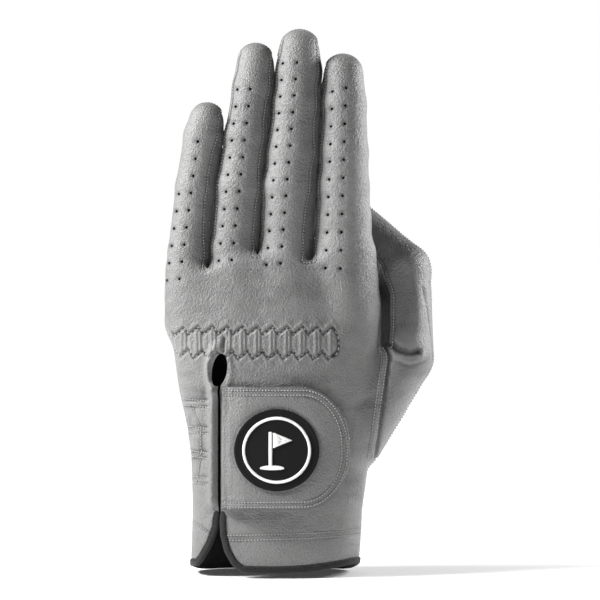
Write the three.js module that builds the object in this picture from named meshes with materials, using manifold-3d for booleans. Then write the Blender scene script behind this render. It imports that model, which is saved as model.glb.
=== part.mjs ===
// A golf glove for the left hand, in thin leather, filled out as if a hand were inside it and standing on its cuff.
// Millimetres, +Z up. The back of the hand faces -Y, the palm +Y, and the thumb is on the +X side.
// Angles round the hand, a finger or the thumb start at the back of the hand and grow towards the thumb side.
import * as THREE from "three";
import { mergeVertices } from "three/addons/utils/BufferGeometryUtils.js";
import Module from "manifold-3d";

const wasm = await Module();
wasm.setup();

// ---------------------------------------------------------------- driving dimensions

const leather = 0.8; // thickness of the leather
const seamGap = 0.3; // clear gap between panels sewn edge to edge
const layerGap = 0.3; // clear gap between layers that lie on each other
const panelGap = 0.6; // clear gap between a layer and the hand's panel under or over it

// Stations up the hand. The knuckle row's right edge and depth come from the fingers.
const cuff = { height: 0, left: -36, right: 36.5, depth: 40 };
const wrist = { height: 28, left: -35.2, right: 37.5, depth: 38 };
const heel = { height: 62, left: -37.2, right: 42, depth: 37 };
const crotch = { height: 98, left: -44.5, right: 47.5, depth: 33 };
const knuckle = { height: 138.5, left: -46.9, fullness: 1.5 };
const handSquareness = 2.5; // exponent of the hand's rounded outline
const cuffLift = 4; // how much the cuff's edge rises on the thumb side of the back

const fingerGap = 1.6; // between neighbouring fingers at the knuckle row
const fingerSquareness = 2.3;
const fingerCap = 12; // length of a rounded fingertip
const fingertipHole = 0.16; // share of the fingertip's width that its pointed end leaves open
const fingerCurl = 8; // how far a point 100 mm above the knuckles bends to the palm
const fingers = [
  { name: "little", width: 18.6, midWidth: 17, tipWidth: 15.2, depth: 17, tipDepth: 13.5, length: 64, lean: 9.2 },
  { name: "ring", width: 19, midWidth: 17.6, tipWidth: 16.4, depth: 18, tipDepth: 14.5, length: 90.3, lean: 10 },
  { name: "middle", width: 20.6, midWidth: 20, tipWidth: 19, depth: 19, tipDepth: 15.5, length: 96.3, lean: 7.4 },
  { name: "index", width: 26, midWidth: 20.4, tipWidth: 17.6, depth: 19, tipDepth: 15, length: 85.5, lean: 0.2 },
];
const forkAngle = 62; // a fourchette runs from this angle to as far from the middle of the palm
const fourchetteSides = { little: [1], ring: [-1, 1], middle: [-1, 1], index: [-1] }; // +1 is the thumb side
const sideSeamAngle = 106; // where back and palm meet on the outer sides of the hand and the outer fingers

// Rails down the thumb's inner and outer edges, from inside the hand to the tip, and its thickness at each pair.
const thumbInner = [
  [38, 4, 88], [47, 6, 96], [48, 10, 108], [46.5, 15, 122], [42, 22, 135], [35, 28, 145], [27, 31, 151],
];
const thumbOuter = [
  [30, 2, 40], [50, 3, 60], [64.5, 5, 82], [68.2, 9, 108], [66.6, 15, 134], [52, 25, 150], [36, 31, 160],
];
const thumbDepths = [25, 24, 22, 20, 18, 16, 13];
const thumbCap = 0.12; // share of the thumb's length taken by its rounded end
const thumbTipHole = 0.2;
const thumbSquareness = 2.2;
const thumbFlex = { x: 49.5, z: 101.5, slope: -0.46 }; // line across the back of the thumb where it bends

const slit = { x: -22.8, width: 1.6, top: 94, eyeWidth: 6, eyeHeight: 13 };
const slitMouth = { left: -31, right: -15.5, height: 28 };
const binding = { width: 2.7, proud: 0.8 }; // edge tape, and how far it stands proud of the leather on both faces

const tab = { left: -20.5, right: 30.9, bottom: 28.8, top: 80.8, cornerRadius: 18 };
const loopPad = { left: -6, right: 28, bottom: 33, top: 76, thickness: 0.7 };
const hookPad = { left: -2, inset: 7, thickness: 0.7 };
const lining = { inset: 0.8, thickness: 0.4 };
const badge = { x: 1.4, z: 54.4, radius: 17.2, thickness: 0.9 };
const badgeRing = { radius: 14.1, width: 1.5, thickness: 0.4 };
const flag = { height: 15, pole: 1.4, length: 8.5, drop: 6.5, greenWidth: 10, greenHeight: 2, thickness: 0.4 };

const elasticThickness = 0.8;
const knuckleElastic = { aboveSlit: 0.4, height: 8.5, left: -33, right: 27 };
const wristElastic = { bottom: 37, top: 77, from: -132, to: -50 };
const cuffFacing = { top: 21, thickness: 0.5, clearOfSlit: 3 };

const greyLeather = () => new THREE.MeshStandardMaterial({ color: 0x6e6e6e, roughness: 0.5, metalness: 0 });
const blackTape = () => new THREE.MeshStandardMaterial({ color: 0x101010, roughness: 0.75, metalness: 0 });
const blackFabric = () => new THREE.MeshStandardMaterial({ color: 0x161616, roughness: 0.95, metalness: 0 });
const greyFabric = () => new THREE.MeshStandardMaterial({ color: 0x5a5a5a, roughness: 0.9, metalness: 0 });
const blackRubber = () => new THREE.MeshStandardMaterial({ color: 0x0c0c0c, roughness: 0.6, metalness: 0 });
const whiteRubber = () => new THREE.MeshStandardMaterial({ color: 0xf2f2f2, roughness: 0.55, metalness: 0 });

// ---------------------------------------------------------------- helpers

const radians = THREE.MathUtils.degToRad;
const lerp = THREE.MathUtils.lerp;
const glove = new THREE.Group();

function add(name, geometry, material) {
  const mesh = new THREE.Mesh(geometry, material);
  mesh.name = name;
  glove.add(mesh);
}

function signedPower(value, power) {
  return Math.sign(value) * Math.abs(value) ** power;
}

// The surface's outward direction: along u crossed with along v.
function normalOf(point, u, v) {
  const step = 1e-3;
  const alongU = point(u + step, v).sub(point(u - step, v));
  const alongV = point(u, v + step).sub(point(u, v - step));
  return alongU.cross(alongV).normalize();
}

// A grid of points on point(u, v), for u and v from 0 to 1, moved outwards by the offset.
function gridOf(point, columns, rows, offset) {
  const points = [];
  for (let row = 0; row <= rows; row++)
    for (let column = 0; column <= columns; column++) {
      const u = column / columns;
      const v = row / rows;
      points.push(...point(u, v).addScaledVector(normalOf(point, u, v), offset));
    }
  return points;
}

function indexed(positions, indices) {
  const geometry = new THREE.BufferGeometry();
  geometry.setAttribute("position", new THREE.Float32BufferAttribute(positions, 3));
  geometry.setIndex(indices);
  return geometry;
}

// A closed wall between two offsets of the surface point(u, v).
function wall(point, columns, rows, inner, outer) {
  const positions = [...gridOf(point, columns, rows, outer), ...gridOf(point, columns, rows, inner)];
  const layer = (columns + 1) * (rows + 1);
  const at = (column, row, isInner) => row * (columns + 1) + column + (isInner ? layer : 0);
  const indices = [];
  const quad = (a, b, c, d) => indices.push(a, b, c, a, c, d);
  for (let row = 0; row < rows; row++)
    for (let column = 0; column < columns; column++) {
      quad(at(column, row), at(column + 1, row), at(column + 1, row + 1), at(column, row + 1));
      quad(at(column, row, 1), at(column, row + 1, 1), at(column + 1, row + 1, 1), at(column + 1, row, 1));
    }
  for (let column = 0; column < columns; column++) {
    quad(at(column, 0, 1), at(column + 1, 0, 1), at(column + 1, 0), at(column, 0));
    quad(at(column, rows), at(column + 1, rows), at(column + 1, rows, 1), at(column, rows, 1));
  }
  for (let row = 0; row < rows; row++) {
    quad(at(0, row), at(0, row + 1), at(0, row + 1, 1), at(0, row, 1));
    quad(at(columns, row, 1), at(columns, row + 1, 1), at(columns, row + 1), at(columns, row));
  }
  return indexed(positions, indices);
}

// A closed solid that fills the surface point(u, v), which goes once round as u goes from 0 to 1.
function filled(point, columns, rows, offset) {
  const positions = gridOf(point, columns, rows, offset);
  const centreOf = (v) => {
    const centre = new THREE.Vector3();
    for (let column = 0; column < columns; column++) centre.add(point(column / columns, v));
    return centre.divideScalar(columns);
  };
  const bottom = positions.length / 3;
  positions.push(...centreOf(0), ...centreOf(1));
  const at = (column, row) => row * (columns + 1) + (column % columns);
  const indices = [];
  for (let column = 0; column < columns; column++) {
    for (let row = 0; row < rows; row++) {
      indices.push(at(column, row), at(column + 1, row), at(column + 1, row + 1));
      indices.push(at(column, row), at(column + 1, row + 1), at(column, row + 1));
    }
    indices.push(bottom, at(column + 1, 0), at(column, 0));
    indices.push(bottom + 1, at(column, rows), at(column + 1, rows));
  }
  return indexed(positions, indices);
}

function solidOf(geometry) {
  const bare = geometry.clone();
  bare.deleteAttribute("normal");
  bare.deleteAttribute("uv");
  const merged = mergeVertices(bare, 1e-4);
  return new wasm.Manifold(new wasm.Mesh({
    numProp: 3,
    vertProperties: merged.attributes.position.array,
    triVerts: new Uint32Array(merged.index.array),
  }));
}

function geometryOf(solid) {
  const mesh = solid.getMesh();
  return indexed(mesh.vertProperties, new THREE.BufferAttribute(mesh.triVerts, 1));
}

// A flat outline in x and z, made a block that reaches from the front of the hand to its middle.
function cutter(outline) {
  const reach = 80;
  const geometry = new THREE.ExtrudeGeometry(outline, { depth: reach, bevelEnabled: false, curveSegments: 8 });
  geometry.rotateX(Math.PI / 2); // the outline's y becomes z, and its depth runs to -Y
  return solidOf(geometry);
}

// ---------------------------------------------------------------- the fingers' row and the hand's form

let nextLeft = knuckle.left;
for (const finger of fingers) {
  finger.x = nextLeft + finger.width / 2;
  nextLeft += finger.width + fingerGap;
}
const rowRight = nextLeft - fingerGap;
const thickestFinger = Math.max(...fingers.map((finger) => finger.depth));
const knuckleRow = {
  height: knuckle.height, left: knuckle.left, right: rowRight, depth: thickestFinger + knuckle.fullness,
};

const stations = [cuff, wrist, heel, crotch, knuckleRow];
const handOutline = new THREE.CubicInterpolant(
  stations.map((station) => station.height),
  stations.flatMap((station) => [station.left, station.right, station.depth]),
  3,
);

function handSection(z) {
  const [left, right, depth] = handOutline.evaluate(z);
  return { middle: (left + right) / 2, half: (right - left) / 2, halfDepth: depth / 2 };
}

function handPoint(angle, z) {
  const { middle, half, halfDepth } = handSection(z);
  const power = 2 / handSquareness;
  return new THREE.Vector3(
    middle + half * signedPower(Math.sin(angle), power),
    -halfDepth * signedPower(Math.cos(angle), power),
    z,
  );
}

// The angle at which the back of the hand has a given x, at the cuff's height.
function angleAtX(x) {
  const { middle, half } = handSection(0);
  return THREE.MathUtils.radToDeg(Math.asin(signedPower((x - middle) / half, handSquareness / 2)));
}

// The cuff's edge is level round the palm, and rises a little on the thumb side of the back.
function cuffEdge(degrees) {
  const around = ((degrees - 68 + 540) % 360) - 180;
  return cuffLift * Math.exp(-((around / 26) ** 2));
}

// A piece of the hand's wall between two angles, from a height above the cuff's edge to a fixed height.
function handWall({ from, to, bottom, top, inner, outer, columns, rows }) {
  const point = (u, v) => {
    const degrees = lerp(from, to, u);
    return handPoint(radians(degrees), lerp(cuffEdge(degrees) + bottom, top, v));
  };
  return wall(point, columns, rows, inner, outer);
}

// The back of the hand as one even grid in x and z, so that layers laid on each other have the same facets.
const backGrid = { left: -34, right: 36, bottom: -4, top: 110, columns: 10, rows: 9 };

function backPoint(u, v) {
  const z = lerp(backGrid.bottom, backGrid.top, v);
  const { middle, half, halfDepth } = handSection(z);
  const x = lerp(backGrid.left, backGrid.right, u);
  const share = Math.min(Math.abs(x - middle) / half, 0.999);
  return new THREE.Vector3(x, -halfDepth * (1 - share ** handSquareness) ** (1 / handSquareness), z);
}

// A flat outline in x and z, laid on the back of the hand between two heights above the leather.
function backLayer(outline, inner, outer) {
  const sheet = solidOf(wall(backPoint, backGrid.columns, backGrid.rows, inner, outer));
  return sheet.intersect(cutter(outline));
}

// ---------------------------------------------------------------- the thumb's form

const innerRail = new THREE.CatmullRomCurve3(thumbInner.map((point) => new THREE.Vector3(...point)));
const outerRail = new THREE.CatmullRomCurve3(thumbOuter.map((point) => new THREE.Vector3(...point)));
const thumbThickness = new THREE.CubicInterpolant(
  thumbDepths.map((depth, place) => place / (thumbDepths.length - 1)),
  thumbDepths,
  1,
);

function thumbPoint(angle, v) {
  const along = THREE.MathUtils.clamp(v, 0, 1);
  const middleAt = (place) => innerRail.getPoint(place).add(outerRail.getPoint(place)).multiplyScalar(0.5);
  const across = outerRail.getPoint(along).sub(innerRail.getPoint(along)).multiplyScalar(0.5);
  const middle = middleAt(along);
  const direction = middleAt(Math.min(along + 0.01, 1)).sub(middleAt(Math.max(along - 0.01, 0))).normalize();
  const back = across.clone().cross(direction).normalize();
  const intoCap = Math.max(0, (v - 1 + thumbCap) / thumbCap);
  const narrowing = Math.sqrt(Math.max(1 - intoCap ** 2 * (1 - thumbTipHole ** 2), 1e-4));
  const power = 2 / thumbSquareness;
  const halfDepth = thumbThickness.evaluate(along)[0] / 2;
  return middle
    .addScaledVector(across, narrowing * signedPower(Math.sin(angle), power))
    .addScaledVector(back, narrowing * halfDepth * signedPower(Math.cos(angle), power));
}

const thumbRows = 12;
const thumbInside = solidOf(filled((u, v) => thumbPoint(u * 2 * Math.PI, v), 24, thumbRows, -leather));
const handOutside = solidOf(filled((u, v) => handPoint(u * 2 * Math.PI, lerp(-5, knuckle.height, v)), 40, 14, seamGap));

// ---------------------------------------------------------------- hand panels

// The slit's edge, moved outwards by the margin. Below its mouth it widens to the cuff with round corners.
function slitOutline(margin) {
  const halfSlot = slit.width / 2 + margin;
  const halfEye = slit.eyeWidth / 2 + margin;
  const left = slit.x - halfSlot;
  const right = slit.x + halfSlot;
  const below = -10;
  const shape = new THREE.Shape();
  shape.moveTo(slitMouth.left - margin, below);
  shape.lineTo(slitMouth.left - margin, 0);
  shape.quadraticCurveTo(left - 1, slitMouth.height / 3, left, slitMouth.height);
  shape.lineTo(left, slit.top - slit.eyeHeight);
  shape.quadraticCurveTo(slit.x - halfEye, slit.top + margin, slit.x, slit.top + margin);
  shape.quadraticCurveTo(slit.x + halfEye, slit.top + margin, right, slit.top - slit.eyeHeight);
  shape.lineTo(right, slitMouth.height);
  shape.quadraticCurveTo(right, slitMouth.height / 4, slitMouth.right + margin, 0);
  shape.lineTo(slitMouth.right + margin, below);
  return shape;
}

const handTop = knuckle.height - seamGap / 2;
const panelBottom = binding.width + seamGap;
const halfSeam = 0.2; // degrees that leave half a seam's gap on the hand's sides

function backPanel() {
  const panel = solidOf(handWall({
    from: -sideSeamAngle + halfSeam, to: sideSeamAngle - halfSeam,
    bottom: panelBottom, top: handTop, inner: -leather, outer: 0, columns: 22, rows: 9,
  }));
  return panel.subtract(cutter(slitOutline(binding.width + seamGap))).subtract(thumbInside);
}

function palmPanel() {
  const panel = solidOf(handWall({
    from: sideSeamAngle + halfSeam, to: 360 - sideSeamAngle - halfSeam,
    bottom: panelBottom, top: handTop, inner: -leather, outer: 0, columns: 14, rows: 9,
  }));
  return panel.subtract(thumbInside);
}

const edgeTrim = 0.2; // cut off below, so that the tape's lower edge is flat

// The tape folded over the cuff's edge and over both edges of the slit, in one length.
function edgeBinding() {
  const inner = -leather - binding.proud;
  const hoop = (from, to, columns) => {
    const point = (u, v) => {
      const degrees = lerp(from, to, u);
      return handPoint(radians(degrees), cuffEdge(degrees) + binding.width * v);
    };
    return solidOf(wall(point, columns, 1, inner, binding.proud));
  };
  const round = hoop(angleAtX(slit.x), 360 + angleAtX(slit.x), 32);
  const strip = backLayer(slitOutline(binding.width), inner, binding.proud);
  const block = new THREE.BoxGeometry(200, 200, 200);
  block.translate(0, 0, 100 + edgeTrim);
  return round.add(strip).intersect(solidOf(block)).subtract(cutter(slitOutline(0)));
}

function rectangle(left, right, bottom, top) {
  const shape = new THREE.Shape();
  shape.moveTo(left, bottom);
  shape.lineTo(right, bottom);
  shape.lineTo(right, top);
  shape.lineTo(left, top);
  return shape;
}

// ---------------------------------------------------------------- pieces inside the hand

function insideStrip({ bottom, top, from, to }, thickness) {
  const outer = -leather - panelGap;
  return handWall({ from, to, bottom, top, inner: outer - thickness, outer, columns: 8, rows: 2 });
}

// The strip that gathers the back just above the slit's tape.
function knuckleStrip() {
  const outer = -leather - panelGap;
  const bottom = slit.top + binding.width + knuckleElastic.aboveSlit;
  const outline = rectangle(knuckleElastic.left, knuckleElastic.right, bottom, bottom + knuckleElastic.height);
  return backLayer(outline, outer - elasticThickness, outer);
}

// The facing runs round the cuff from one edge of the slit's mouth to the other, just above the tape.
function hemFacing() {
  const { top, thickness, clearOfSlit } = cuffFacing;
  const from = angleAtX(slitMouth.right + binding.width + clearOfSlit);
  const to = 360 + angleAtX(slitMouth.left - binding.width - clearOfSlit / 3);
  const outer = -leather - panelGap;
  return handWall({
    from, to, bottom: panelBottom, top, inner: outer - thickness, outer, columns: 24, rows: 1,
  });
}

// ---------------------------------------------------------------- tab, its pads and its badge

// The tab's outline has a straight edge at the slit and large round corners at its free end.
function tabOutline(inset) {
  const left = tab.left + inset;
  const right = tab.right - inset;
  const bottom = tab.bottom + inset;
  const top = tab.top - inset;
  const corner = tab.cornerRadius - inset;
  const shape = new THREE.Shape();
  shape.moveTo(left, bottom);
  shape.lineTo(right - corner, bottom);
  shape.absarc(right - corner, bottom + corner, corner, -Math.PI / 2, 0);
  shape.absarc(right - corner, top - corner, corner, 0, Math.PI / 2);
  shape.lineTo(left, top);
  return shape;
}

function disc(radius) {
  const shape = new THREE.Shape();
  shape.absarc(badge.x, badge.z, radius, 0, Math.PI * 2);
  return shape;
}

// A golf flag on its pole, standing on a small mound.
function flagOutline() {
  const foot = badge.z - flag.height / 2;
  const left = badge.x - flag.length / 2 + flag.pole / 2;
  const mound = flag.greenWidth / 2;
  const top = foot + flag.height;
  const shape = new THREE.Shape();
  shape.moveTo(left - mound, foot - flag.greenHeight / 2);
  shape.lineTo(left + mound, foot - flag.greenHeight / 2);
  shape.quadraticCurveTo(left + mound / 2, foot + flag.greenHeight / 2, left + flag.pole / 2, foot + flag.greenHeight / 2);
  shape.lineTo(left + flag.pole / 2, top - flag.drop);
  shape.lineTo(left + flag.length, top - flag.drop / 2);
  shape.lineTo(left + flag.pole / 2, top);
  shape.lineTo(left - flag.pole / 2, top);
  shape.lineTo(left - flag.pole / 2, foot + flag.greenHeight / 2);
  shape.quadraticCurveTo(left - mound / 2, foot + flag.greenHeight / 2, left - mound, foot - flag.greenHeight / 2);
  return shape;
}

// Each layer of the tab's stack starts a gap above the one under it.
function stack(start, thicknesses) {
  let height = start;
  return thicknesses.map((thickness) => {
    const span = [height, height + thickness];
    height += thickness + layerGap;
    return span;
  });
}

const [loopSpan, hookSpan, liningSpan, tabSpan, badgeSpan, markSpan] = stack(panelGap, [
  loopPad.thickness, hookPad.thickness, lining.thickness, leather, badge.thickness, badgeRing.thickness,
]);

function hookOutline() {
  const inset = tabOutline(hookPad.inset);
  const points = inset.getPoints(8).filter((point) => point.x > hookPad.left);
  const bottom = tab.bottom + hookPad.inset;
  const top = tab.top - hookPad.inset;
  return new THREE.Shape([new THREE.Vector2(hookPad.left, bottom), ...points, new THREE.Vector2(hookPad.left, top)]);
}

// ---------------------------------------------------------------- fingers

function fingerPoint(finger, angle, v) {
  const capStart = 1 - fingerCap / finger.length;
  const straightRows = 0.62; // share of the rows below the cap
  const quarter = Math.acos(fingertipHole);
  const turn = Math.max(0, (v - straightRows) / (1 - straightRows)) * quarter;
  const along = v < straightRows
    ? (v / straightRows) * capStart
    : lerp(capStart, 1, Math.sin(turn) / Math.sin(quarter));
  const taper = (start, middle, end) => {
    const share = Math.min(along / capStart, 1);
    return lerp(lerp(start, middle, Math.min(share * 2, 1)), end, Math.max(0, share * 2 - 1));
  };
  const halfWidth = (taper(finger.width, finger.midWidth, finger.tipWidth) / 2) * Math.cos(turn);
  const halfDepth = (lerp(finger.depth, finger.tipDepth, along) / 2) * Math.cos(turn);
  const up = along * finger.length;
  const power = 2 / fingerSquareness;
  return new THREE.Vector3(
    finger.x + finger.lean * along + halfWidth * signedPower(Math.sin(angle), power),
    fingerCurl * (up / 100) ** 2 - halfDepth * signedPower(Math.cos(angle), power),
    knuckle.height + seamGap / 2 + up,
  );
}

const fingerRows = 10;

function fingerPanel(finger, from, to, columns) {
  const halfGap = THREE.MathUtils.radToDeg(seamGap / finger.width);
  const point = (u, v) => fingerPoint(finger, radians(lerp(from + halfGap, to - halfGap, u)), v);
  return wall(point, columns, fingerRows, -leather, 0);
}

// The palm side runs on round from the back side's end to the back side's start.
function addFinger(finger) {
  const forks = fourchetteSides[finger.name];
  const hasFork = (side) => forks.includes(side);
  const thumbSideEnd = hasFork(1) ? forkAngle : sideSeamAngle;
  const littleSideEnd = hasFork(-1) ? forkAngle : sideSeamAngle;
  const palmStart = hasFork(1) ? 180 - forkAngle : sideSeamAngle;
  const palmEnd = hasFork(-1) ? 180 + forkAngle : 360 - sideSeamAngle;
  add(`${finger.name}_back`, fingerPanel(finger, -littleSideEnd, thumbSideEnd, 6), greyLeather());
  add(`${finger.name}_palm`, fingerPanel(finger, palmStart, palmEnd, 6), greyLeather());
  const towards = { 1: "thumb", "-1": "little" };
  for (const side of forks) {
    const [from, to] = side === 1 ? [forkAngle, 180 - forkAngle] : [180 + forkAngle, 360 - forkAngle];
    add(`${finger.name}_fourchette_${towards[side]}_side`, fingerPanel(finger, from, to, 2), greyLeather());
  }
}

// ---------------------------------------------------------------- thumb

// A block on one side of the plane where the thumb bends. The plane's line is seen from the back of the hand.
function besideFlex(side, gap) {
  const size = 150;
  const block = new THREE.BoxGeometry(size, size, size);
  block.translate(0, 0, side * (size / 2 + gap));
  block.rotateY(-Math.atan(thumbFlex.slope));
  block.translate(thumbFlex.x, 0, thumbFlex.z);
  return solidOf(block);
}

function thumbHalf(from, to) {
  const halfGap = 0.8; // degrees that leave half a seam's gap on the thumb
  const point = (u, v) => thumbPoint(radians(lerp(from + halfGap, to - halfGap, u)), v);
  return solidOf(wall(point, 9, thumbRows, -leather, 0));
}

// ---------------------------------------------------------------- the whole glove

add("back_panel", geometryOf(backPanel()), greyLeather());
add("palm_panel", geometryOf(palmPanel()), greyLeather());
add("edge_binding", geometryOf(edgeBinding()), blackTape());
add("cuff_facing", hemFacing(), greyFabric());
add("knuckle_elastic", geometryOf(knuckleStrip()), blackFabric());
add("wrist_elastic", insideStrip(wristElastic, elasticThickness), blackFabric());

const loopOutline = rectangle(loopPad.left, loopPad.right, loopPad.bottom, loopPad.top);
add("loop_pad", geometryOf(backLayer(loopOutline, ...loopSpan)), blackFabric());
add("hook_pad", geometryOf(backLayer(hookOutline(), ...hookSpan)), blackFabric());
add("tab_lining", geometryOf(backLayer(tabOutline(lining.inset), ...liningSpan)), greyFabric());
add("tab_leather", geometryOf(backLayer(tabOutline(0), ...tabSpan)), greyLeather());
add("badge_disc", geometryOf(backLayer(disc(badge.radius), ...badgeSpan)), blackRubber());
const ring = backLayer(disc(badgeRing.radius), ...markSpan);
add("badge_ring", geometryOf(ring.subtract(cutter(disc(badgeRing.radius - badgeRing.width)))), whiteRubber());
add("badge_flag", geometryOf(backLayer(flagOutline(), ...markSpan)), whiteRubber());

for (const finger of fingers) addFinger(finger);

for (const [side, from, to] of [["back", -90, 90], ["palm", 90, 270]]) {
  const half = thumbHalf(from, to).subtract(handOutside);
  add(`thumb_base_${side}`, geometryOf(half.intersect(besideFlex(-1, seamGap / 2))), greyLeather());
  add(`thumb_${side}`, geometryOf(half.intersect(besideFlex(1, seamGap / 2))), greyLeather());
}

// The origin is under the middle of the glove's box, on the face that it stands on.
const box = new THREE.Box3().setFromObject(glove);
const middle = box.getCenter(new THREE.Vector3());
glove.position.set(-middle.x, -middle.y, -box.min.z);

export default glove;
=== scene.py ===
"""The looks of a golf glove: leather skin, seams, stitching, closure tab, badge and edge tape."""
import math

import bmesh
import bpy
import numpy as np
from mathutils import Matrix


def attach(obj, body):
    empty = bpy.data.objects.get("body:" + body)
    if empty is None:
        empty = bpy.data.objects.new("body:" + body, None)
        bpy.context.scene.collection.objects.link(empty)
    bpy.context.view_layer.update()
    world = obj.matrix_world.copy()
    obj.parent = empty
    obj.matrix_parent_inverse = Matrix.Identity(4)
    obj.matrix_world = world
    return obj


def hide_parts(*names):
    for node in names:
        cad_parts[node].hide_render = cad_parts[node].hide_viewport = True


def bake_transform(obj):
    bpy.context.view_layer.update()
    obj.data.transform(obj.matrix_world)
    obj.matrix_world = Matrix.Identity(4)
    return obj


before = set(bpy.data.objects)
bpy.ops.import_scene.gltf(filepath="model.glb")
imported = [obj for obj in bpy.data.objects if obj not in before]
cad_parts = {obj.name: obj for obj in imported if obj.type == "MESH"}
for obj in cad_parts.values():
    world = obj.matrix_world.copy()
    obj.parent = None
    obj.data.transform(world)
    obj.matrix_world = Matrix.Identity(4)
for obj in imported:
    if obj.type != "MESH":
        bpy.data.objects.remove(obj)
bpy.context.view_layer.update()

import openvdb
from mathutils import Vector, noise

MM = 0.001

# The glove's pattern is drawn in millimetres from the middle of the cuff. This is where that point lies.
PATTERN_ORIGIN = np.array([-10.92, -5.39, -0.2])


def placed(points):
    """Pattern points, in millimetres, as points of the frame, in metres."""
    return (np.asarray(points, float) + PATTERN_ORIGIN) * MM


# ------------------------------------------------------------------ the form of the worn hand

# Round stretches of each finger: x, y, z of a ball's middle, and its radius.
# Fingers are a little wider than deep.
FINGER_FLATNESS = 0.92
FINGERS = {
    "little": [
        (-37.7, 0.0, 108.0, 9.1), (-36.65, 0.0, 138.0, 8.95), (-33.75, 0.8, 166.0, 8.6),
        (-30.7, 2.0, 188.0, 8.2), (-28.9, 2.6, 195.2, 7.7),
    ],
    "ring": [
        (-18.4, 0.0, 110.0, 10.1), (-17.3, 0.0, 139.4, 10.4), (-15.05, 0.9, 166.0, 10.2),
        (-12.35, 2.2, 188.0, 9.25), (-9.2, 4.0, 209.0, 8.9), (-8.0, 5.2, 220.4, 8.4),
    ],
    "middle": [
        (4.4, 0.0, 110.0, 11.1), (4.9, 0.0, 139.0, 11.4), (6.2, 0.8, 166.0, 11.7),
        (7.9, 1.6, 181.0, 11.2), (9.3, 3.2, 202.0, 10.4), (10.25, 4.6, 216.0, 9.7),
        (10.9, 5.8, 225.5, 9.3),
    ],
    "index": [
        (30.8, 0.0, 112.0, 12.4), (29.6, 0.0, 139.0, 12.9), (29.5, 0.4, 152.0, 12.1),
        (29.45, 0.8, 166.0, 11.4), (29.7, 1.8, 181.0, 10.7), (29.9, 3.4, 202.0, 9.8),
        (29.6, 4.8, 215.2, 8.9),
    ],
}
# The back and palm leather of each finger, cut narrower than the finger: x, z and radius.
FINGER_CUTS = {
    "little": [
        (-37.7, 108, 8.6), (-37.9, 138, 8.5), (-36.2, 166, 7.9), (-31.5, 188, 7.5), (-29.3, 195.2, 6.9),
    ],
    "ring": [
        (-18.6, 110, 9.4), (-17.8, 139, 9.3), (-15.5, 166, 9.4), (-12.9, 188, 8.7), (-9.9, 209, 8.3),
        (-8.4, 220.2, 8.05),
    ],
    "middle": [
        (3.2, 110, 9.6), (3.3, 139, 9.4), (5.3, 166, 10.4), (7.3, 181, 10.4), (9.0, 202, 9.6),
        (10.0, 216, 9.4), (10.7, 225.3, 8.95),
    ],
    "index": [
        (30.8, 112, 11.6), (29.8, 139, 12.5), (29.7, 166, 11.1), (29.9, 181, 10.4), (30.1, 202, 9.45),
        (29.7, 215, 8.6),
    ],
}
THUMB = [
    (32.2, 3.0, 60.0, 16.2), (54.5, 6.0, 93.5, 14.1), (56.6, 13.5, 130.5, 11.4),
    (35.0, 29.0, 153.0, 8.9),
]
# Stations up the hand: height, left side, right side and depth.
HAND = np.array([
    (-6, -36.0, 35.8, 40.4), (0, -35.7, 36.1, 40), (28, -34.9, 37.9, 38), (50, -35.6, 40.7, 37.5),
    (62, -37.1, 43.2, 37), (80, -40.9, 45.6, 35.6), (98, -43.4, 46.6, 33), (117, -45.1, 45.4, 28),
    (140, -44.9, 42.1, 20.5), (150, -44.0, 41.2, 18.5),
])
HAND_SQUARENESS = 2.5
# The tops of the webs between the fingers, from the little finger to the index finger.
WEB_TOPS = np.array([
    (-60, 134), (-38, 131.5), (-29.0, 131.3), (-8.2, 137.3), (14.4, 135.0), (28, 137), (60, 143),
])
FINGER_BLEND = 5.0
VOXEL = 0.8
FINGER_VOXEL = 0.6
LEATHER = 0.8


def smooth_min(a, b, k):
    h = np.clip(0.5 + 0.5 * (b - a) / k, 0, 1)
    return b + (a - b) * h - k * h * (1 - h)


def round_cone(p, a, b):
    """Distance from points to the rounded cone round two balls."""
    a, b = np.array(a, np.float32), np.array(b, np.float32)
    along = b[:3] - a[:3]
    length2 = float(along @ along)
    shrink = float(a[3] - b[3])
    slant2 = length2 - shrink * shrink
    offset = [p[i] - a[i] for i in range(3)]
    y = sum(offset[i] * along[i] for i in range(3))
    z = y - length2
    x2 = sum((offset[i] * length2 - along[i] * y) ** 2 for i in range(3))
    y2, z2 = y * y * length2, z * z * length2
    k = np.sign(shrink) * shrink * shrink * x2
    side = (np.sqrt(x2 * slant2 / length2) + y * shrink) / length2 - a[3]
    past_end = np.sqrt(x2 + z2) / length2 - b[3]
    before_start = np.sqrt(x2 + y2) / length2 - a[3]
    result = np.where(np.sign(y) * slant2 * y2 < k, before_start, side)
    return np.where(np.sign(z) * slant2 * z2 > k, past_end, result)


def chain(p, balls, flatness=1.0, blend=1.5):
    """Distance to a row of rounded cones, whose sections are flatter from front to back."""
    scaled = (p[0], p[1] / flatness, p[2])
    result = None
    for a, b in zip(balls, balls[1:]):
        a, b = (a[0], a[1] / flatness, a[2], a[3]), (b[0], b[1] / flatness, b[2], b[3])
        d = round_cone(scaled, a, b)
        result = d if result is None else smooth_min(result, d, blend)
    return result


def finger_form(p, name):
    return chain(p, FINGERS[name], FINGER_FLATNESS)


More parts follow.
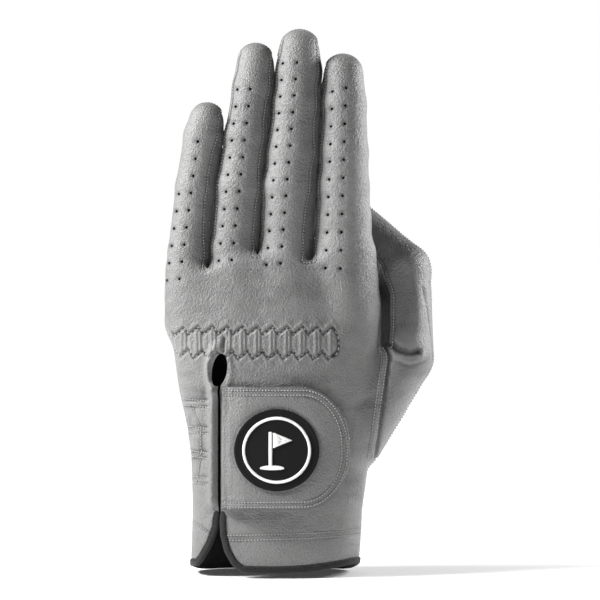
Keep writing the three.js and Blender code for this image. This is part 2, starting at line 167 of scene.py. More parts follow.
def hand_form(p):
    x, y, z = p
    left, right, depth = (np.interp(z, HAND[:, 0], HAND[:, i]).astype(np.float32) for i in (1, 2, 3))
    middle, half, half_depth = (left + right) / 2, (right - left) / 2, depth / 2
    u, v = np.abs(x - middle) / half, np.abs(y) / half_depth
    n = HAND_SQUARENESS
    q = np.maximum((u**n + v**n) ** (1 / n), 0.05)
    steepness = np.sqrt(((u / q) ** (n - 1) / half) ** 2 + ((v / q) ** (n - 1) / half_depth) ** 2)
    wall = (q - 1) / np.maximum(steepness, 1 / half)
    web = np.interp(x, WEB_TOPS[:, 0], WEB_TOPS[:, 1]).astype(np.float32)
    top = z - web - 4.0 * step(y, 0, 6).astype(np.float32)
    return -smooth_min(-wall, -top, 4.0)


def body_form(p):
    """The hand and its four fingers, without the thumb."""
    fingers = None
    for name in FINGERS:
        finger = finger_form(p, name)
        fingers = finger if fingers is None else np.minimum(fingers, finger)
    return smooth_min(hand_form(p), fingers, FINGER_BLEND)


def glove_form(p):
    """Distance to the filled glove's surface, below 0 inside."""
    return smooth_min(body_form(p), chain(p, THUMB), 2.5)


def skin_grid(form, low, high, voxel):
    """A form's surface inside a box as points and four-sided faces, in pattern millimetres."""
    low = np.floor(np.array(low) / voxel) * voxel
    axes = [np.arange(low[i], high[i], voxel, dtype=np.float32) for i in range(3)]
    distance = form(np.meshgrid(*axes, indexing="ij"))
    grid = openvdb.FloatGrid(3 * voxel)
    grid.copyFromArray(np.clip(distance, -3 * voxel, 3 * voxel))
    points, quads = grid.convertToQuads(isovalue=0.0)
    bm = bmesh.new()
    verts = [bm.verts.new(q) for q in points.astype(float) * voxel + low]
    for quad in quads:
        bm.faces.new([verts[i] for i in quad])
    bm.verts.ensure_lookup_table()
    return bm


# ------------------------------------------------------------------ where the seams and edges run

SLIT_X = -22.8
# The left and right edges of the slit's mouth: z and x.
SLIT_MOUTH = (
    [(2, -35.2), (4, -33.4), (7.6, -30.6), (13.8, -26.9), (21.4, -24.0), (28.4, -23.3), (34, -23.25)],
    [(1, -8), (3, -13), (6, -17.2), (11.4, -20.4), (18.3, -22.2), (26.8, -22.4), (34, -22.35)],
)
FINGER_CUT = 130.5  # height where the finger pieces part from the hand's pieces
WEB_LIMIT = 140.0  # above this height a finger's skin is whole all the way round
THUMB_FLEX = np.array([49.5, 101.5])  # x and z of a point on the crease where the thumb bends
THUMB_WAY = np.array([0.4179, 0.9084])
THUMB_CUT = -4.0  # the thumb pieces part this far under the crease
FACING_TOP = 13.0
# The thumb's inner seam, and the crease at its root: z and x, and x and z.
THUMB_SEAM = np.array([
    (92, 47.8), (99, 49.3), (106, 50.0), (120.3, 50.0), (132.6, 46.1), (138.7, 42.3), (148, 34), (160, 20),
])
THUMB_CREASE = [(50.2, 98.9), (53.1, 96.6), (58.0, 94.6), (61.2, 95.6)]


def step(t, low, high):
    s = np.clip((t - low) / (high - low), 0, 1)
    return s * s * (3 - 2 * s)


def bump(t, middle, width):
    return np.exp(-(((t - middle) / width) ** 2))


def finger_line(name, z, axis=0):
    """The x, or y, of a finger's middle at a height."""
    balls = np.array(FINGERS[name])
    return np.interp(z, balls[:, 2], balls[:, axis])


def leather_field(name, x, z):
    """Above 0 on a finger's back and palm leather, below 0 on its fork strips."""
    flat = [(bx, 0.0, bz, r) for bx, bz, r in FINGER_CUTS[name]]
    field = -chain((x, np.zeros_like(x), z), flat, blend=3.0)
    if name == "little":
        return np.maximum(field, finger_line(name, z) - x)
    if name == "index":
        return np.maximum(field, x - finger_line(name, z))
    return field


def finger_panels(name):
    _, _, tip, radius = FINGERS[name][-1]

    def field(p):
        x, y, z = p
        web = np.interp(x, WEB_TOPS[:, 0], WEB_TOPS[:, 1] - 0.5) - z
        # The fork strips run out to a point, and back and palm leather meet over the fingertip.
        half_width = np.interp(z, [tip - 6, tip + 0.7 * radius], [14.0, -0.3])
        closed = np.abs(y - finger_line(name, z, 1)) - half_width
        leather_there = np.maximum(leather_field(name, x, z), closed)
        return -smooth_min(-leather_there, -web, 1.5)

    return field


def thumb_field(p):
    """Above 0 on the thumb's leather. Its seam runs up beside the hand, and round further into the palm."""
    x, y, z = p
    into_palm = 13 * step(y, -2, 12) * np.clip(1 - ((z - 72) / 30) ** 2, 0, 1)
    seam = ((x + into_palm - 43) * 47.7 - (z - 49.5) * 6.8) / 48.2
    apart = np.clip(body_form(p) - chain(p, THUMB), -4, 4)
    high = step(z, 93, 101)
    low = 1 - step(z, 44, 50)
    return seam * (1 - high) + apart * high - 30 * low


def thumb_reach(p):
    """How far up the thumb from its crease."""
    return (p[0] - THUMB_FLEX[0]) * THUMB_WAY[0] + (p[2] - THUMB_FLEX[1]) * THUMB_WAY[1]


def thumb_middle_y(x, z):
    """The depth of the thumb's own middle, seen from the back of the hand."""
    best, y = None, None
    for a, b in zip(THUMB, THUMB[1:]):
        ax, ay, az, _ = a
        bx, by, bz, _ = b
        t = ((x - ax) * (bx - ax) + (z - az) * (bz - az)) / ((bx - ax) ** 2 + (bz - az) ** 2)
        t = np.clip(t, 0, 1)
        away = np.hypot(x - ax - t * (bx - ax), z - az - t * (bz - az))
        here = ay + t * (by - ay)
        y = here if y is None else np.where(away < best, here, y)
        best = away if best is None else np.minimum(best, away)
    return y


def thumb_side(p):
    """Below 0 on the thumb's back leather and above 0 on its palm leather."""
    x, y, z = p
    behind = y - thumb_middle_y(x, z) - 1.0
    beside = np.interp(z, THUMB_SEAM[:, 0], THUMB_SEAM[:, 1]) - x
    return np.where(z > 97, -smooth_min(-behind, -beside, 2.0), behind)


def hand_side(p):
    """Below 0 on the back of the hand and fingers, and above 0 on the palm."""
    x, y, z = p
    finger = np.where(x < -5, finger_line("little", z, 1), finger_line("index", z, 1)) + 1.5
    return y - 2.5 - (finger - 2.5) * step(z, 120, 150)


def finger_side(name):
    def field(p):
        x, y, z = p
        return y - 2.5 - (finger_line(name, z, 1) - 1.0) * step(z, 120, 150)

    return field


def cuff_edge(x, y):
    """The height of the cuff's edge: level under the palm, rising at the sides and on the back."""
    return 1.0 + 1.9 * step(-y, -2, 12) + 0.0024 * (x + 2) ** 2 * step(-y, -16, 0)


def slit_field(p):
    """Below 0 inside the slit in the back, its eye at the top and its mouth at the cuff."""
    x, y, z = p
    line = np.maximum(np.abs(x - SLIT_X) - 0.45, np.maximum(z - 88, 10 - z))
    lean = x - (-22.9 + 0.13 * (z - 88))
    eye = (np.hypot(lean / 3.2, (z - 88) / 6.9) - 1) * 3.4
    left, right = (np.interp(z, *np.transpose(side)) for side in SLIT_MOUTH)
    mouth = np.maximum(np.maximum(left - x, x - right), z - 30)
    opening = np.minimum(np.minimum(line, eye), mouth)
    return np.where(y < 0, opening, 10.0)


# Rows of air holes up each finger: a column's lowest and highest hole, and how many.
HOLE_RADIUS = 0.62
HOLE_COLUMNS = {
    "little": [((-40.2, 126.6), (-32.6, 185.3), 9), ((-46.0, 126.0), (-40.9, 163.0), 6)],
    "ring": [((-23.6, 134.4), (-15.9, 207.9), 11), ((-17.9, 134.6), (-10.2, 207.9), 11)],
    "middle": [((-3.2, 132.6), (3.6, 219.2), 13), ((2.8, 133.2), (9.8, 219.4), 13)],
    "index": [((21.9, 131.2), (24.9, 207.0), 11), ((28.2, 131.0), (30.8, 208.4), 11)],
}


def hole_places():
    places = []
    for columns in HOLE_COLUMNS.values():
        for (x0, z0), (x1, z1), count in columns:
            for i in range(count):
                t = i / (count - 1)
                places.append((x0 + t * (x1 - x0), z0 + t * (z1 - z0)))
    return places


def hole_field(p):
    """Distance to the nearest air hole's edge on the back of the fingers, below 0 inside it."""
    x, y, z = p
    nearest = np.full(len(x), 9.0)
    front = y < finger_line("middle", z, 1)
    for hx, hz in hole_places():
        near = front & (np.abs(x - hx) < 4) & (np.abs(z - hz) < 4)
        nearest[near] = np.minimum(nearest[near], np.hypot(x[near] - hx, z[near] - hz) - HOLE_RADIUS)
    return nearest


# ------------------------------------------------------------------ cutting the skin

def coordinates(bm):
    return np.array([v.co[:] for v in bm.verts]).T


def face_middles(bm):
    return np.array([f.calc_center_median()[:] for f in bm.faces]).T


def split_along(bm, field, mask=None):
    """Adds an edge along the line where field crosses 0, wherever mask allows."""
    p = coordinates(bm)
    values = field(p)
    values = np.where(np.abs(values) < 1e-4, 1e-4, values)
    allowed = np.ones(len(values), bool) if mask is None else mask(p)
    bm.verts.index_update()
    crossed = []
    for edge in bm.edges:
        a, b = edge.verts[0].index, edge.verts[1].index
        if values[a] * values[b] < 0 and allowed[a] and allowed[b]:
            crossed.append((edge, values[a] / (values[a] - values[b])))
    new = []
    for edge, share in crossed:
        share = min(max(share, 0.03), 0.97)
        new.append(bmesh.utils.edge_split(edge, edge.verts[0], share)[1])
    bmesh.ops.connect_verts(bm, verts=new)


def drop_faces(bm, field):
    """Removes the faces whose middles have a field below 0."""
    gone = field(face_middles(bm)) < 0
    faces = [f for f, out in zip(list(bm.faces), gone) if out]
    bmesh.ops.delete(bm, geom=faces, context="FACES")


def cut_away(bm, field, mask=None):
    split_along(bm, field, mask)
    drop_faces(bm, field)


def refine(bm, wanted, cuts):
    """Divides the faces whose middles are wanted."""
    chosen = wanted(face_middles(bm))
    edges = {e for f, keep in zip(list(bm.faces), chosen) if keep for e in f.edges}
    bmesh.ops.subdivide_edges(bm, edges=list(edges), cuts=cuts, use_grid_fill=True)


class Skin:
    """A cut skin as arrays: rest is its plain form, points its form with the relief raised."""

    def __init__(self, bm, lift):
        bm.normal_update()
        self.rest = coordinates(bm)
        plain = np.array([v.normal[:] for v in bm.verts]).T
        self.lift = lift(self.rest, plain)
        # crease: how far the fine relief sinks below the broad form, used as the strength of painted shade
        # in seams, stitch grooves, hole dimples and folds
        self.crease = np.clip((broad_relief(self.rest, plain) - self.lift) / 0.4, 0, 1)
        self.points = (self.rest + plain * self.lift).T
        for vertex, point in zip(bm.verts, self.points):
            vertex.co = point
        bm.normal_update()
        bm.verts.index_update()
        self.normals = np.array([v.normal[:] for v in bm.verts])
        self.faces = [[v.index for v in f.verts] for f in bm.faces]
        self.middles = np.array([self.rest[:, f].mean(axis=1) for f in self.faces]).T
        bm.free()


def new_piece(name, points, faces, material=None):
    """A smooth mesh of pattern points, put in the scene."""
    mesh = bpy.data.meshes.new(name)
    mesh.from_pydata(placed(points), [], faces)
    mesh.shade_smooth()
    if material:
        mesh.materials.append(material)
    piece = bpy.data.objects.new(name, mesh)
    bpy.context.scene.collection.objects.link(piece)
    return piece


def shell(name, skin, chosen, outer=0.0, inner=-LEATHER):
    """A closed panel of the skin's chosen faces, between two offsets along its normals."""
    faces = [skin.faces[i] for i in np.flatnonzero(chosen)]
    used = np.unique(np.concatenate([np.array(f) for f in faces]))
    place = {int(v): i for i, v in enumerate(used)}
    count = len(used)
    normals, base = skin.normals[used], skin.points[used]
    outer = np.broadcast_to(outer, len(skin.points))[used][:, None]
    inner = np.broadcast_to(inner, len(skin.points))[used][:, None]
    points = np.concatenate([base + normals * outer, base + normals * inner])
    top = [[place[v] for v in f] for f in faces]
    bottom = [[v + count for v in reversed(f)] for f in top]
    directed = {(a, b) for f in top for a, b in zip(f, f[1:] + f[:1])}
    rim = [[b, a, a + count, b + count] for a, b in sorted(directed) if (b, a) not in directed]
    piece = new_piece(name, points, top + bottom + rim)
    mesh = piece.data
    loops = [normals[v] for f in top for v in f] + [-normals[v - count] for f in bottom for v in f]
    for a, b, c, _ in rim:
        across = np.cross(points[b] - points[a], points[c] - points[b])
        size = np.linalg.norm(across)
        across = across / size if size > 1e-9 else np.array([0.0, 0.0, 1.0])
        loops += [across] * 4
    mesh.normals_split_custom_set(np.array(loops))
    # the outer face takes the first material, and the inner face and the rim the second
    sides = np.zeros(len(mesh.polygons), np.int32)
    sides[len(top):] = 1
    mesh.polygons.foreach_set("material_index", sides)
    # the crease attribute carries the painted shade for sunk seams and grooves to the leather material
    crease = mesh.attributes.new("crease", "FLOAT", "POINT")
    depth = skin.crease[used]
    crease.data.foreach_set("value", np.concatenate([depth, depth]).astype(np.float32))
    return piece


# ------------------------------------------------------------------ the leather's relief

SMOCK_PITCH = 6.35
SMOCK_LEFT, SMOCK_RIGHT = -43.0, 24.6
SEAM_INSET = 1.05  # stitches run this far inside a finger's leather
THUMB_ROWS = (-1.0, -3.0)  # two rows this far from the thumb's seam, on the hand's side
# Where the rows of stitching across the flap run, and the line that joins them: z, and x and z.
FLAP_ROWS = [(75.0, 72.4), (63.4, 61.0), (53.0, 50.6), (42.3, 39.6)]
FLAP_LINE = [(-34.5, 72.0), (-31.0, 63.0), (-31.0, 53.0), (-31.8, 46.0), (-32.9, 40.0)]
HEM_ROWS = (18.4, 16.3)


def zigzag(x, low, high, start):
    """A smocking seam's height: a long rise and a short fall in each zig."""
    t = ((x - start) / SMOCK_PITCH) % 1.0
    return low + (high - low) * np.where(t < 0.62, t / 0.62, (1 - t) / 0.38)


def smock_top(x):
    return zigzag(x, 103.2, 106.2, -4.2) - 0.9 * step(-x, 30, 44)


def smock_bottom(x):
    return zigzag(x, 92.9, 96.3, -2.2) + 0.6 * step(-x, 28, 44)


def hem_height(row, x):
    """The height of a row of stitching above the cuff, right of the slit."""
    return row + 0.032 * (x + 12)


def left_hem_height(x):
    return 20.6 - 0.65 * (x + 30)


def to_line(x, z, line):
    """Distance to a line of points, seen from the back of the hand."""
    best = np.full(np.shape(x), 99.0)
    for (ax, az), (bx, bz) in zip(line, line[1:]):
        t = np.clip(((x - ax) * (bx - ax) + (z - az) * (bz - az)) / ((bx - ax) ** 2 + (bz - az) ** 2), 0, 1)
        best = np.minimum(best, np.hypot(x - ax - t * (bx - ax), z - az - t * (bz - az)))
    return best


def ripple(p, size, seed):
    """Soft irregular waves, from -1 to 1."""
    wide, deep, tall = size
    return np.array([noise.noise(Vector((x / wide + seed, y / deep, z / tall))) for x, y, z in p.T])


def broad_relief(p, n):
    """The knuckles, the hollows between the bones of the hand, and the thumb's hollow back."""
    x, y, z = p
    front = step(-n[1], 0.05, 0.5)
    dent = np.hypot((x - 55.5 + 0.08 * (z - 118)) / 6.0, (z - 117) / 19.0)
    lift = -step(thumb_field(p), 0, 2) * front * 1.9 * (1 - step(dent, 0.15, 1.15))
    for knuckle, height in ((-36, 122), (-16, 126), (5, 127), (30, 124)):
        lift += front * 0.55 * bump(x, knuckle, 8) * bump(z, height, 13)
    for hollow, lean, depth, width in ((-27, -0.05, 0.15, 6), (-7, -0.05, 0.2, 6), (20, 0.18, 0.9, 8)):
        valley = bump(x, hollow + lean * (130 - z), width)
        lift += -front * depth * valley * step(z, 88, 112) * (1 - step(z, 118, 138))
    return lift


def smocking_relief(x, z, front):
    """Gathered leather between two sunk zigzag seams, closed by a round end beside the thumb."""
    span = step(x, SMOCK_LEFT - 1.5, SMOCK_LEFT + 0.5) * (1 - step(x, SMOCK_RIGHT, SMOCK_RIGHT + 3.0))
    span = span * front
    top, bottom = smock_top(x), smock_bottom(x)
    between = step(z, bottom - 0.6, bottom + 1.2) * (1 - step(z, top - 1.2, top + 0.6))
    gathers = 0.30 * np.abs(np.cos(np.pi * (x + 1.0) / SMOCK_PITCH))
    gathers += 0.15 * np.sin(2 * np.pi * x / 2.1 + 1.3 * np.sin(x))
    lift = span * between * (0.25 + gathers)
    lift += -span * 0.80 * (bump(z, top, 0.7) + bump(z, bottom, 0.7))
    lift += span * 0.25 * (bump(z, top + 2.0, 1.3) + bump(z, bottom - 2.0, 1.3))
    end = np.hypot((x - SMOCK_RIGHT) / 0.55, z - 99.5) - 5.6
    lift += -front * 0.5 * bump(end, 0, 0.9) * step(x, SMOCK_RIGHT, SMOCK_RIGHT + 1)
    # the short fold that runs up into the smocking from the slit
    fold = bump(x, -20.9 + 0.1 * (z - 99), 0.9) * step(z, 94.5, 96) * (1 - step(z, 101, 103.5))
    lift += -front * 0.9 * fold
    return lift


def slit_relief(x, z, front):
    """The flap's rolled edge beside the tab, and the open eye above it."""
    beside = step(z, 27, 34) * (1 - step(z, 79, 84)) * front
    lift = beside * (3.0 * bump(x, -25.2, 1.9) - 0.15 * bump(x, -29.6, 1.8))
    around = bump(np.hypot((x + 23.0) / 4.8, (z - 88) / 9.4), 1.0, 0.24)
    lift += front * 1.7 * around * step(-x, 20.5, 25)
    lift += front * 0.5 * around * (1 - step(-x, 20.5, 25))
    return lift


def flap_relief(x, z, front):
    """Rows of stitching across the flap, with the leather puffed between them."""
    flap = front * step(x, -40, -37) * (1 - step(x, -26.6, -25.4))
    lift = 0.0
    for pair in FLAP_ROWS:
        for row in pair:
            lift += -flap * 0.34 * bump(z, row + 0.06 * (x + 32), 0.8)
        lift += flap * 0.22 * bump(z, (pair[0] + pair[1]) / 2, 0.7)
    for puff in (68, 57, 46.5, 33):
        lift += flap * 0.35 * bump(z, puff, 3.0) * (0.6 + 0.4 * np.sin(x * 0.9 + puff))
    return lift - flap * 0.28 * bump(to_line(x, z, FLAP_LINE), 0, 0.7)


def hem_relief(x, z, front):
    """The hem's rows of stitching above the cuff, on both sides of the slit."""
    hem = front * step(x, -22.6, -21.5) * (1 - step(x, 37, 38.5))
    lift = front * 0.5 * bump(z, 10, 6) * step(x, -18, 10)
    for row in HEM_ROWS:
        lift += -hem * 0.22 * bump(z, hem_height(row, x), 0.6)
    left_hem = front * (1 - step(x, -27.5, -26.5))
    return lift - left_hem * 0.22 * bump(z, left_hem_height(x), 0.7)


def thumb_relief(p, n, front):
    """The seam between hand and thumb, and the thumb's crease, inner seam and folds."""
    x, y, z = p
    join = thumb_field(p)
    lift = -0.75 * bump(join, 0.35, 0.8)
    for row in THUMB_ROWS:
        lift += -0.26 * bump(join, row, 0.6) * step(z, 50, 54)
    lift += 0.35 * bump(join, -2.0, 1.0) * step(z, 50, 54) * (1 - step(z, 96, 99))
    thumb = step(join, 0, 2)
    crease = to_line(x, z, THUMB_CREASE)
    lift += -thumb * front * 1.5 * bump(crease, 0, 1.2)
    lift += thumb * front * 0.7 * bump(crease, 2.8, 1.3) * (1 - step(z, 93, 97))
    lift += -thumb * front * 0.35 * bump(crease, 5.0, 1.0) * (1 - step(z, 90, 94))
    seam = x - np.interp(z, THUMB_SEAM[:, 0], THUMB_SEAM[:, 1])
    lift += thumb * front * step(z, 97, 100) * (-1.1 * step(-seam, 0.0, 0.9) - 0.35 * bump(seam, 1.2, 0.6))
    lift += -0.35 * bump(thumb_side(p), 0, 0.7) * thumb * (1 - front)
    for fold in (134.5, 139.0, 143.0):
        lift += -thumb * 0.30 * bump(z + 0.55 * (x - 50), fold, 1.1) * step(n[1], -0.9, 0.2)
    return lift


def hand_relief(p, n):
    x, y, z = p
    front = step(-n[1], 0.05, 0.5)
    lift = 0.10 * ripple(p, (5, 5, 3.2), 3.1) + 0.16 * ripple(p, (13, 13, 9), 8.4)
    lift += -0.22 * bump(hole_field(p), 0, 0.8)
    lift += broad_relief(p, n)
    for part in (smocking_relief, slit_relief, flap_relief, hem_relief):
        lift += part(x, z, front)
    # soft folds where the wrist gathers, and the seam between back and palm
    lift += front * 0.30 * ripple(p, (26, 26, 7), 5.7) * step(z, 20, 34) * (1 - step(z, 84, 92))
    lift += -0.42 * bump(hand_side(p), 0, 0.75) * (np.abs(n[1]) < 0.75)
    return lift + thumb_relief(p, n, front)


def finger_relief(name):
    panels = finger_panels(name)

    def lift_of(p, n):
        x, y, z = p
        lift = 0.06 * ripple(p, (4.5, 5, 2.6), 3.1) + 0.10 * ripple(p, (12, 12, 8), 8.4)
        lift = lift * (1 - 0.5 * step(z, 190, 215))
        lift += -0.24 * bump(hole_field(p), 0, 0.8)
        edge = panels(p)
        leather = edge > 0
        lift += leather * (-0.36 * bump(edge, SEAM_INSET, 0.5) - 0.30 * (1 - step(edge, 0.0, 0.5)))
        lift += broad_relief(p, n)
        # faint creases across the joints
        for joint in (0.36, 0.68):
            top = FINGERS[name][-1][2]
            height = 138 + joint * (top - 138)
            waves = np.sin((z - height) * 2.3 + 0.25 * (x - finger_line(name, z)))
            lift += 0.05 * waves * bump(z, height, 4.5) * leather
        outer = (name == "little") * (n[0] < -0.4) + (name == "index") * (n[0] > 0.4)
        lift += -0.40 * bump(finger_side(name)(p), 0, 0.7) * outer
        return lift

    return lift_of


# ------------------------------------------------------------------ stitches and laid pieces

THREAD_PITCH = 1.32
THREAD_LENGTH = 0.86
THREAD_RADIUS = 0.25
THREAD_SINK = 0.25  # the share of its radius that a stitch sinks into the leather
THREAD_LIFT = 0.02


def gradient(form, p, h=0.25):
    steps = []
    for axis in range(3):
        shift = np.zeros((3, 1))
        shift[axis] = h
        steps.append(form(p + shift) - form(p - shift))
    g = np.array(steps)
    return g / np.maximum(np.linalg.norm(g, axis=0), 1e-9)


def on_glove(x, z, form=glove_form):
    """Points of the plain form in front of places seen from the back of the hand, and their normals."""
    x, z = np.asarray(x, float), np.asarray(z, float)
    p = np.array([x, np.full_like(x, -45.0), z])
    for _ in range(60):
        p[1] += np.clip(form(p), -2.0, 8.0) * 0.9
    return p, gradient(form, p)


def unit(vectors):
    return vectors / np.maximum(np.linalg.norm(vectors, axis=1, keepdims=True), 1e-9)


def line_lengths(line):
    """How far along a line each of its points lies."""
    return np.concatenate([[0], np.cumsum(np.linalg.norm(np.diff(line, axis=0), axis=1))])


def at_lengths(places, lengths, line):
    return np.array([np.interp(places, lengths, column) for column in line.T]).T


def resample(line, pitch, closed=False):
    """Evenly spaced points along a line, with their directions."""
    line = np.asarray(line, float)
    if closed:
        line = np.concatenate([line, line[:1]])
    lengths = line_lengths(line)
    count = max(2, int(lengths[-1] / pitch))
    places = (np.arange(count) + 0.5) * lengths[-1] / count
    ahead, back = (at_lengths(places + near, lengths, line) for near in (0.3, -0.3))
    return at_lengths(places, lengths, line), unit(ahead - back)


def smoothed(line, rounds, closed=False):
    line = np.asarray(line, float)
    for _ in range(rounds):
        before, after = np.roll(line, 1, 0), np.roll(line, -1, 0)
        if not closed:
            before[0], after[-1] = line[0], line[-1]
        line = 0.5 * line + 0.25 * (before + after)
    return line


class Thread:
    """Gathers stitches, then makes them one piece."""

    sides = 6
    stations = ((-1.0, 0.35, -0.75), (-0.62, 0.95, 0.0), (0.62, 0.95, 0.0), (1.0, 0.35, -0.75))

    def __init__(self, length=THREAD_LENGTH, radius=THREAD_RADIUS):
        self.length, self.radius = length, radius
        self.points, self.faces = [], []

    def add(self, middles, ways, normals, length=None):
        half = (length or self.length) / 2
        for middle, way, normal in zip(middles, ways, normals):
            side = np.cross(normal, way)
            size = np.linalg.norm(side)
            if size < 1e-6:
                continue
            side = side / size
            up = np.cross(way, side)
            first = len(self.points)
            for along, width, drop in self.stations:
                centre = middle + way * half * along + up * self.radius * (1 - THREAD_SINK + drop)
                for i in range(self.sides):
                    angle = 2 * math.pi * i / self.sides
                    round_it = side * math.cos(angle) + up * math.sin(angle)
                    self.points.append(centre + round_it * self.radius * width)
            for row in range(len(self.stations) - 1):
                for i in range(self.sides):
                    j = (i + 1) % self.sides
                    a, b = first + row * self.sides + i, first + row * self.sides + j
                    self.faces.append([b, a, a + self.sides, b + self.sides])
            last = first + (len(self.stations) - 1) * self.sides
            self.faces.append([first + i for i in range(self.sides)])
            self.faces.append([last + i for i in reversed(range(self.sides))])

    def line(self, points, normals, closed=False, pitch=THREAD_PITCH):
        """Stitches along a line of points that have normals."""
        if line_lengths(points)[-1] < 2 * pitch:
            return
        middles, ways = resample(points, pitch, closed)
        nearest = [int(np.argmin(((points - middle) ** 2).sum(axis=1))) for middle in middles]
        self.add(middles, ways, normals[nearest])

    def piece(self, name, material):
        return new_piece(name, self.points, self.faces, material)


def contours(skin, values, chosen):
    """Lines of points where values cross 0 on the chosen faces, with normals."""
    links, spots = {}, {}
    for index in np.flatnonzero(chosen):
        face = skin.faces[index]
        ends = []
        for a, b in zip(face, face[1:] + face[:1]):
            if (values[a] < 0) != (values[b] < 0):
                key = (min(a, b), max(a, b))
                if key not in spots:
                    t = values[key[0]] / (values[key[0]] - values[key[1]])
                    point = skin.points[key[0]] * (1 - t) + skin.points[key[1]] * t
                    normal = skin.normals[key[0]] * (1 - t) + skin.normals[key[1]] * t
                    spots[key] = np.concatenate([point, normal])
                ends.append(key)
        if len(ends) == 2:
            links.setdefault(ends[0], []).append(ends[1])
            links.setdefault(ends[1], []).append(ends[0])
    lines, seen = [], set()
    starts = [k for k in links if len(links[k]) == 1] + list(links)
    for start in starts:
        if start in seen:
            continue
        row, here = [start], start
        seen.add(start)
        while True:
            onward = [k for k in links[here] if k not in seen]
            if not onward:
                break
            here = onward[0]
            seen.add(here)
            row.append(here)
        closed = len(row) > 8 and row[0] in links[row[-1]]
        if len(row) > 5:
            line = np.array([spots[k] for k in row])
            lines.append((smoothed(line, 3, closed), closed))
    return lines


def seam_thread(thread, skin, field, level, chosen):
    for line, closed in contours(skin, field(skin.rest) - level, chosen):
        thread.line(line[:, :3], line[:, 3:], closed)


def laid_points(line, spacing=0.4):
    """A line of x and z places, followed closely on the hand's leather."""
    line = np.asarray(line, float)
    between, _ = resample(line, spacing)
    x, z = np.concatenate([line[:1], between, line[-1:]]).T
    p, n = on_glove(x, z)
    met = (np.abs(glove_form(p)) < 0.3) & (n[1] < -0.12) & (slit_field(p) > 0.9)
    p, n = p[:, met], n[:, met]
    return (p + n * (hand_relief(p, n) + THREAD_LIFT)).T, n.T


class Laid:
    """A flat grid cut to an outline and laid on the hand, ready for shell."""

    def __init__(self, outline, low, high, spacing):
        bm = bmesh.new()
        xs = np.arange(low[0], high[0] + spacing, spacing)
        zs = np.arange(low[1], high[1] + spacing, spacing)
        rows = [[bm.verts.new((x, 0, z)) for x in xs] for z in zs]
        for upper, lower in zip(rows[1:], rows):
            for i in range(len(xs) - 1):
                bm.faces.new([lower[i], lower[i + 1], upper[i + 1], upper[i]])
        cut_away(bm, lambda p: outline(p[0], p[2]))
        loose = [v for v in bm.verts if not v.link_faces]
        bmesh.ops.delete(bm, geom=loose, context="VERTS")
        bm.verts.index_update()
        flat = coordinates(bm)
        self.rest, normals = on_glove(flat[0], flat[2], body_form)
        self.normals, self.points = normals.T, self.rest.T
        self.faces = [[v.index for v in f.verts] for f in bm.faces]
        self.crease = np.zeros(len(self.points))
        bm.free()

    def everything(self):
        return np.ones(len(self.faces), bool)


def smooth_normals(points, faces):
    """An uneven piece's normals, averaged at its points."""
    total = np.zeros_like(points)
    for face in faces:
        across = np.cross(points[face[2]] - points[face[0]], points[face[-1]] - points[face[1]])
        for v in face:
            total[v] += across
    return unit(total)


# ------------------------------------------------------------------ finishes

def new_material(name, colour, roughness, **inputs):
    material = bpy.data.materials.new(name)
    material.use_nodes = True
    shader = material.node_tree.nodes["Principled BSDF"]
    shader.inputs["Base Color"].default_value = (*colour, 1)
    shader.inputs["Roughness"].default_value = roughness
    for socket, value in inputs.items():
        shader.inputs[socket.replace("_", " ")].default_value = value
    return material, material.node_tree.nodes, material.node_tree.links, shader


def node(nodes, kind, **values):
    made = nodes.new(kind)
    for name, value in values.items():
        if hasattr(made, name):
            setattr(made, name, value)
        else:
            made.inputs[name.replace("_", " ")].default_value = value
    return made


def group(name, inputs, outputs):
    tree = bpy.data.node_groups.new(name, "ShaderNodeTree")
    for socket, kind, value in inputs:
        made = tree.interface.new_socket(socket, in_out="INPUT", socket_type=kind)
        if value is not None:
            made.default_value = value
    for socket, kind in outputs:
        tree.interface.new_socket(socket, in_out="OUTPUT", socket_type=kind)
    return tree, tree.nodes.new("NodeGroupInput"), tree.nodes.new("NodeGroupOutput")


def grain_group():
    """Fine pebbled grain: a height for bump, and a mask of its hollows."""
    tree, source, out = group(
        "leather_grain",
        [("Vector", "NodeSocketVector", None), ("Pebble Scale", "NodeSocketFloat", 1150.0),
         ("Wrinkle Scale", "NodeSocketFloat", 420.0), ("Wrinkle Share", "NodeSocketFloat", 0.8)],
        [("Height", "NodeSocketFloat"), ("Hollows", "NodeSocketFloat")],
    )
    pebble = node(tree.nodes, "ShaderNodeTexVoronoi", feature="SMOOTH_F1", Smoothness=0.6, Randomness=1.0)
    fine = node(tree.nodes, "ShaderNodeTexNoise", Detail=3.0, Roughness=0.6)
    twice = node(tree.nodes, "ShaderNodeMath", operation="MULTIPLY")
    twice.inputs[1].default_value = 1.9
    wrinkle = node(tree.nodes, "ShaderNodeTexNoise", Detail=4.0, Roughness=0.55, Distortion=0.6)
    weighted = node(tree.nodes, "ShaderNodeMath", operation="MULTIPLY")
    both = node(tree.nodes, "ShaderNodeMath", operation="ADD")
    total = node(tree.nodes, "ShaderNodeMath", operation="ADD")
    link = tree.links.new
    for texture in (pebble, fine, wrinkle):
        link(source.outputs["Vector"], texture.inputs["Vector"])
    link(source.outputs["Pebble Scale"], pebble.inputs["Scale"])
    link(source.outputs["Pebble Scale"], twice.inputs[0])
    link(twice.outputs[0], fine.inputs["Scale"])
    link(source.outputs["Wrinkle Scale"], wrinkle.inputs["Scale"])
    link(wrinkle.outputs["Fac"], weighted.inputs[0])
    link(source.outputs["Wrinkle Share"], weighted.inputs[1])
    link(pebble.outputs["Distance"], both.inputs[0])
    link(fine.outputs["Fac"], both.inputs[1])
    link(both.outputs[0], total.inputs[0])
    link(weighted.outputs[0], total.inputs[1])
    link(total.outputs[0], out.inputs["Height"])
    link(pebble.outputs["Distance"], out.inputs["Hollows"])
    return tree


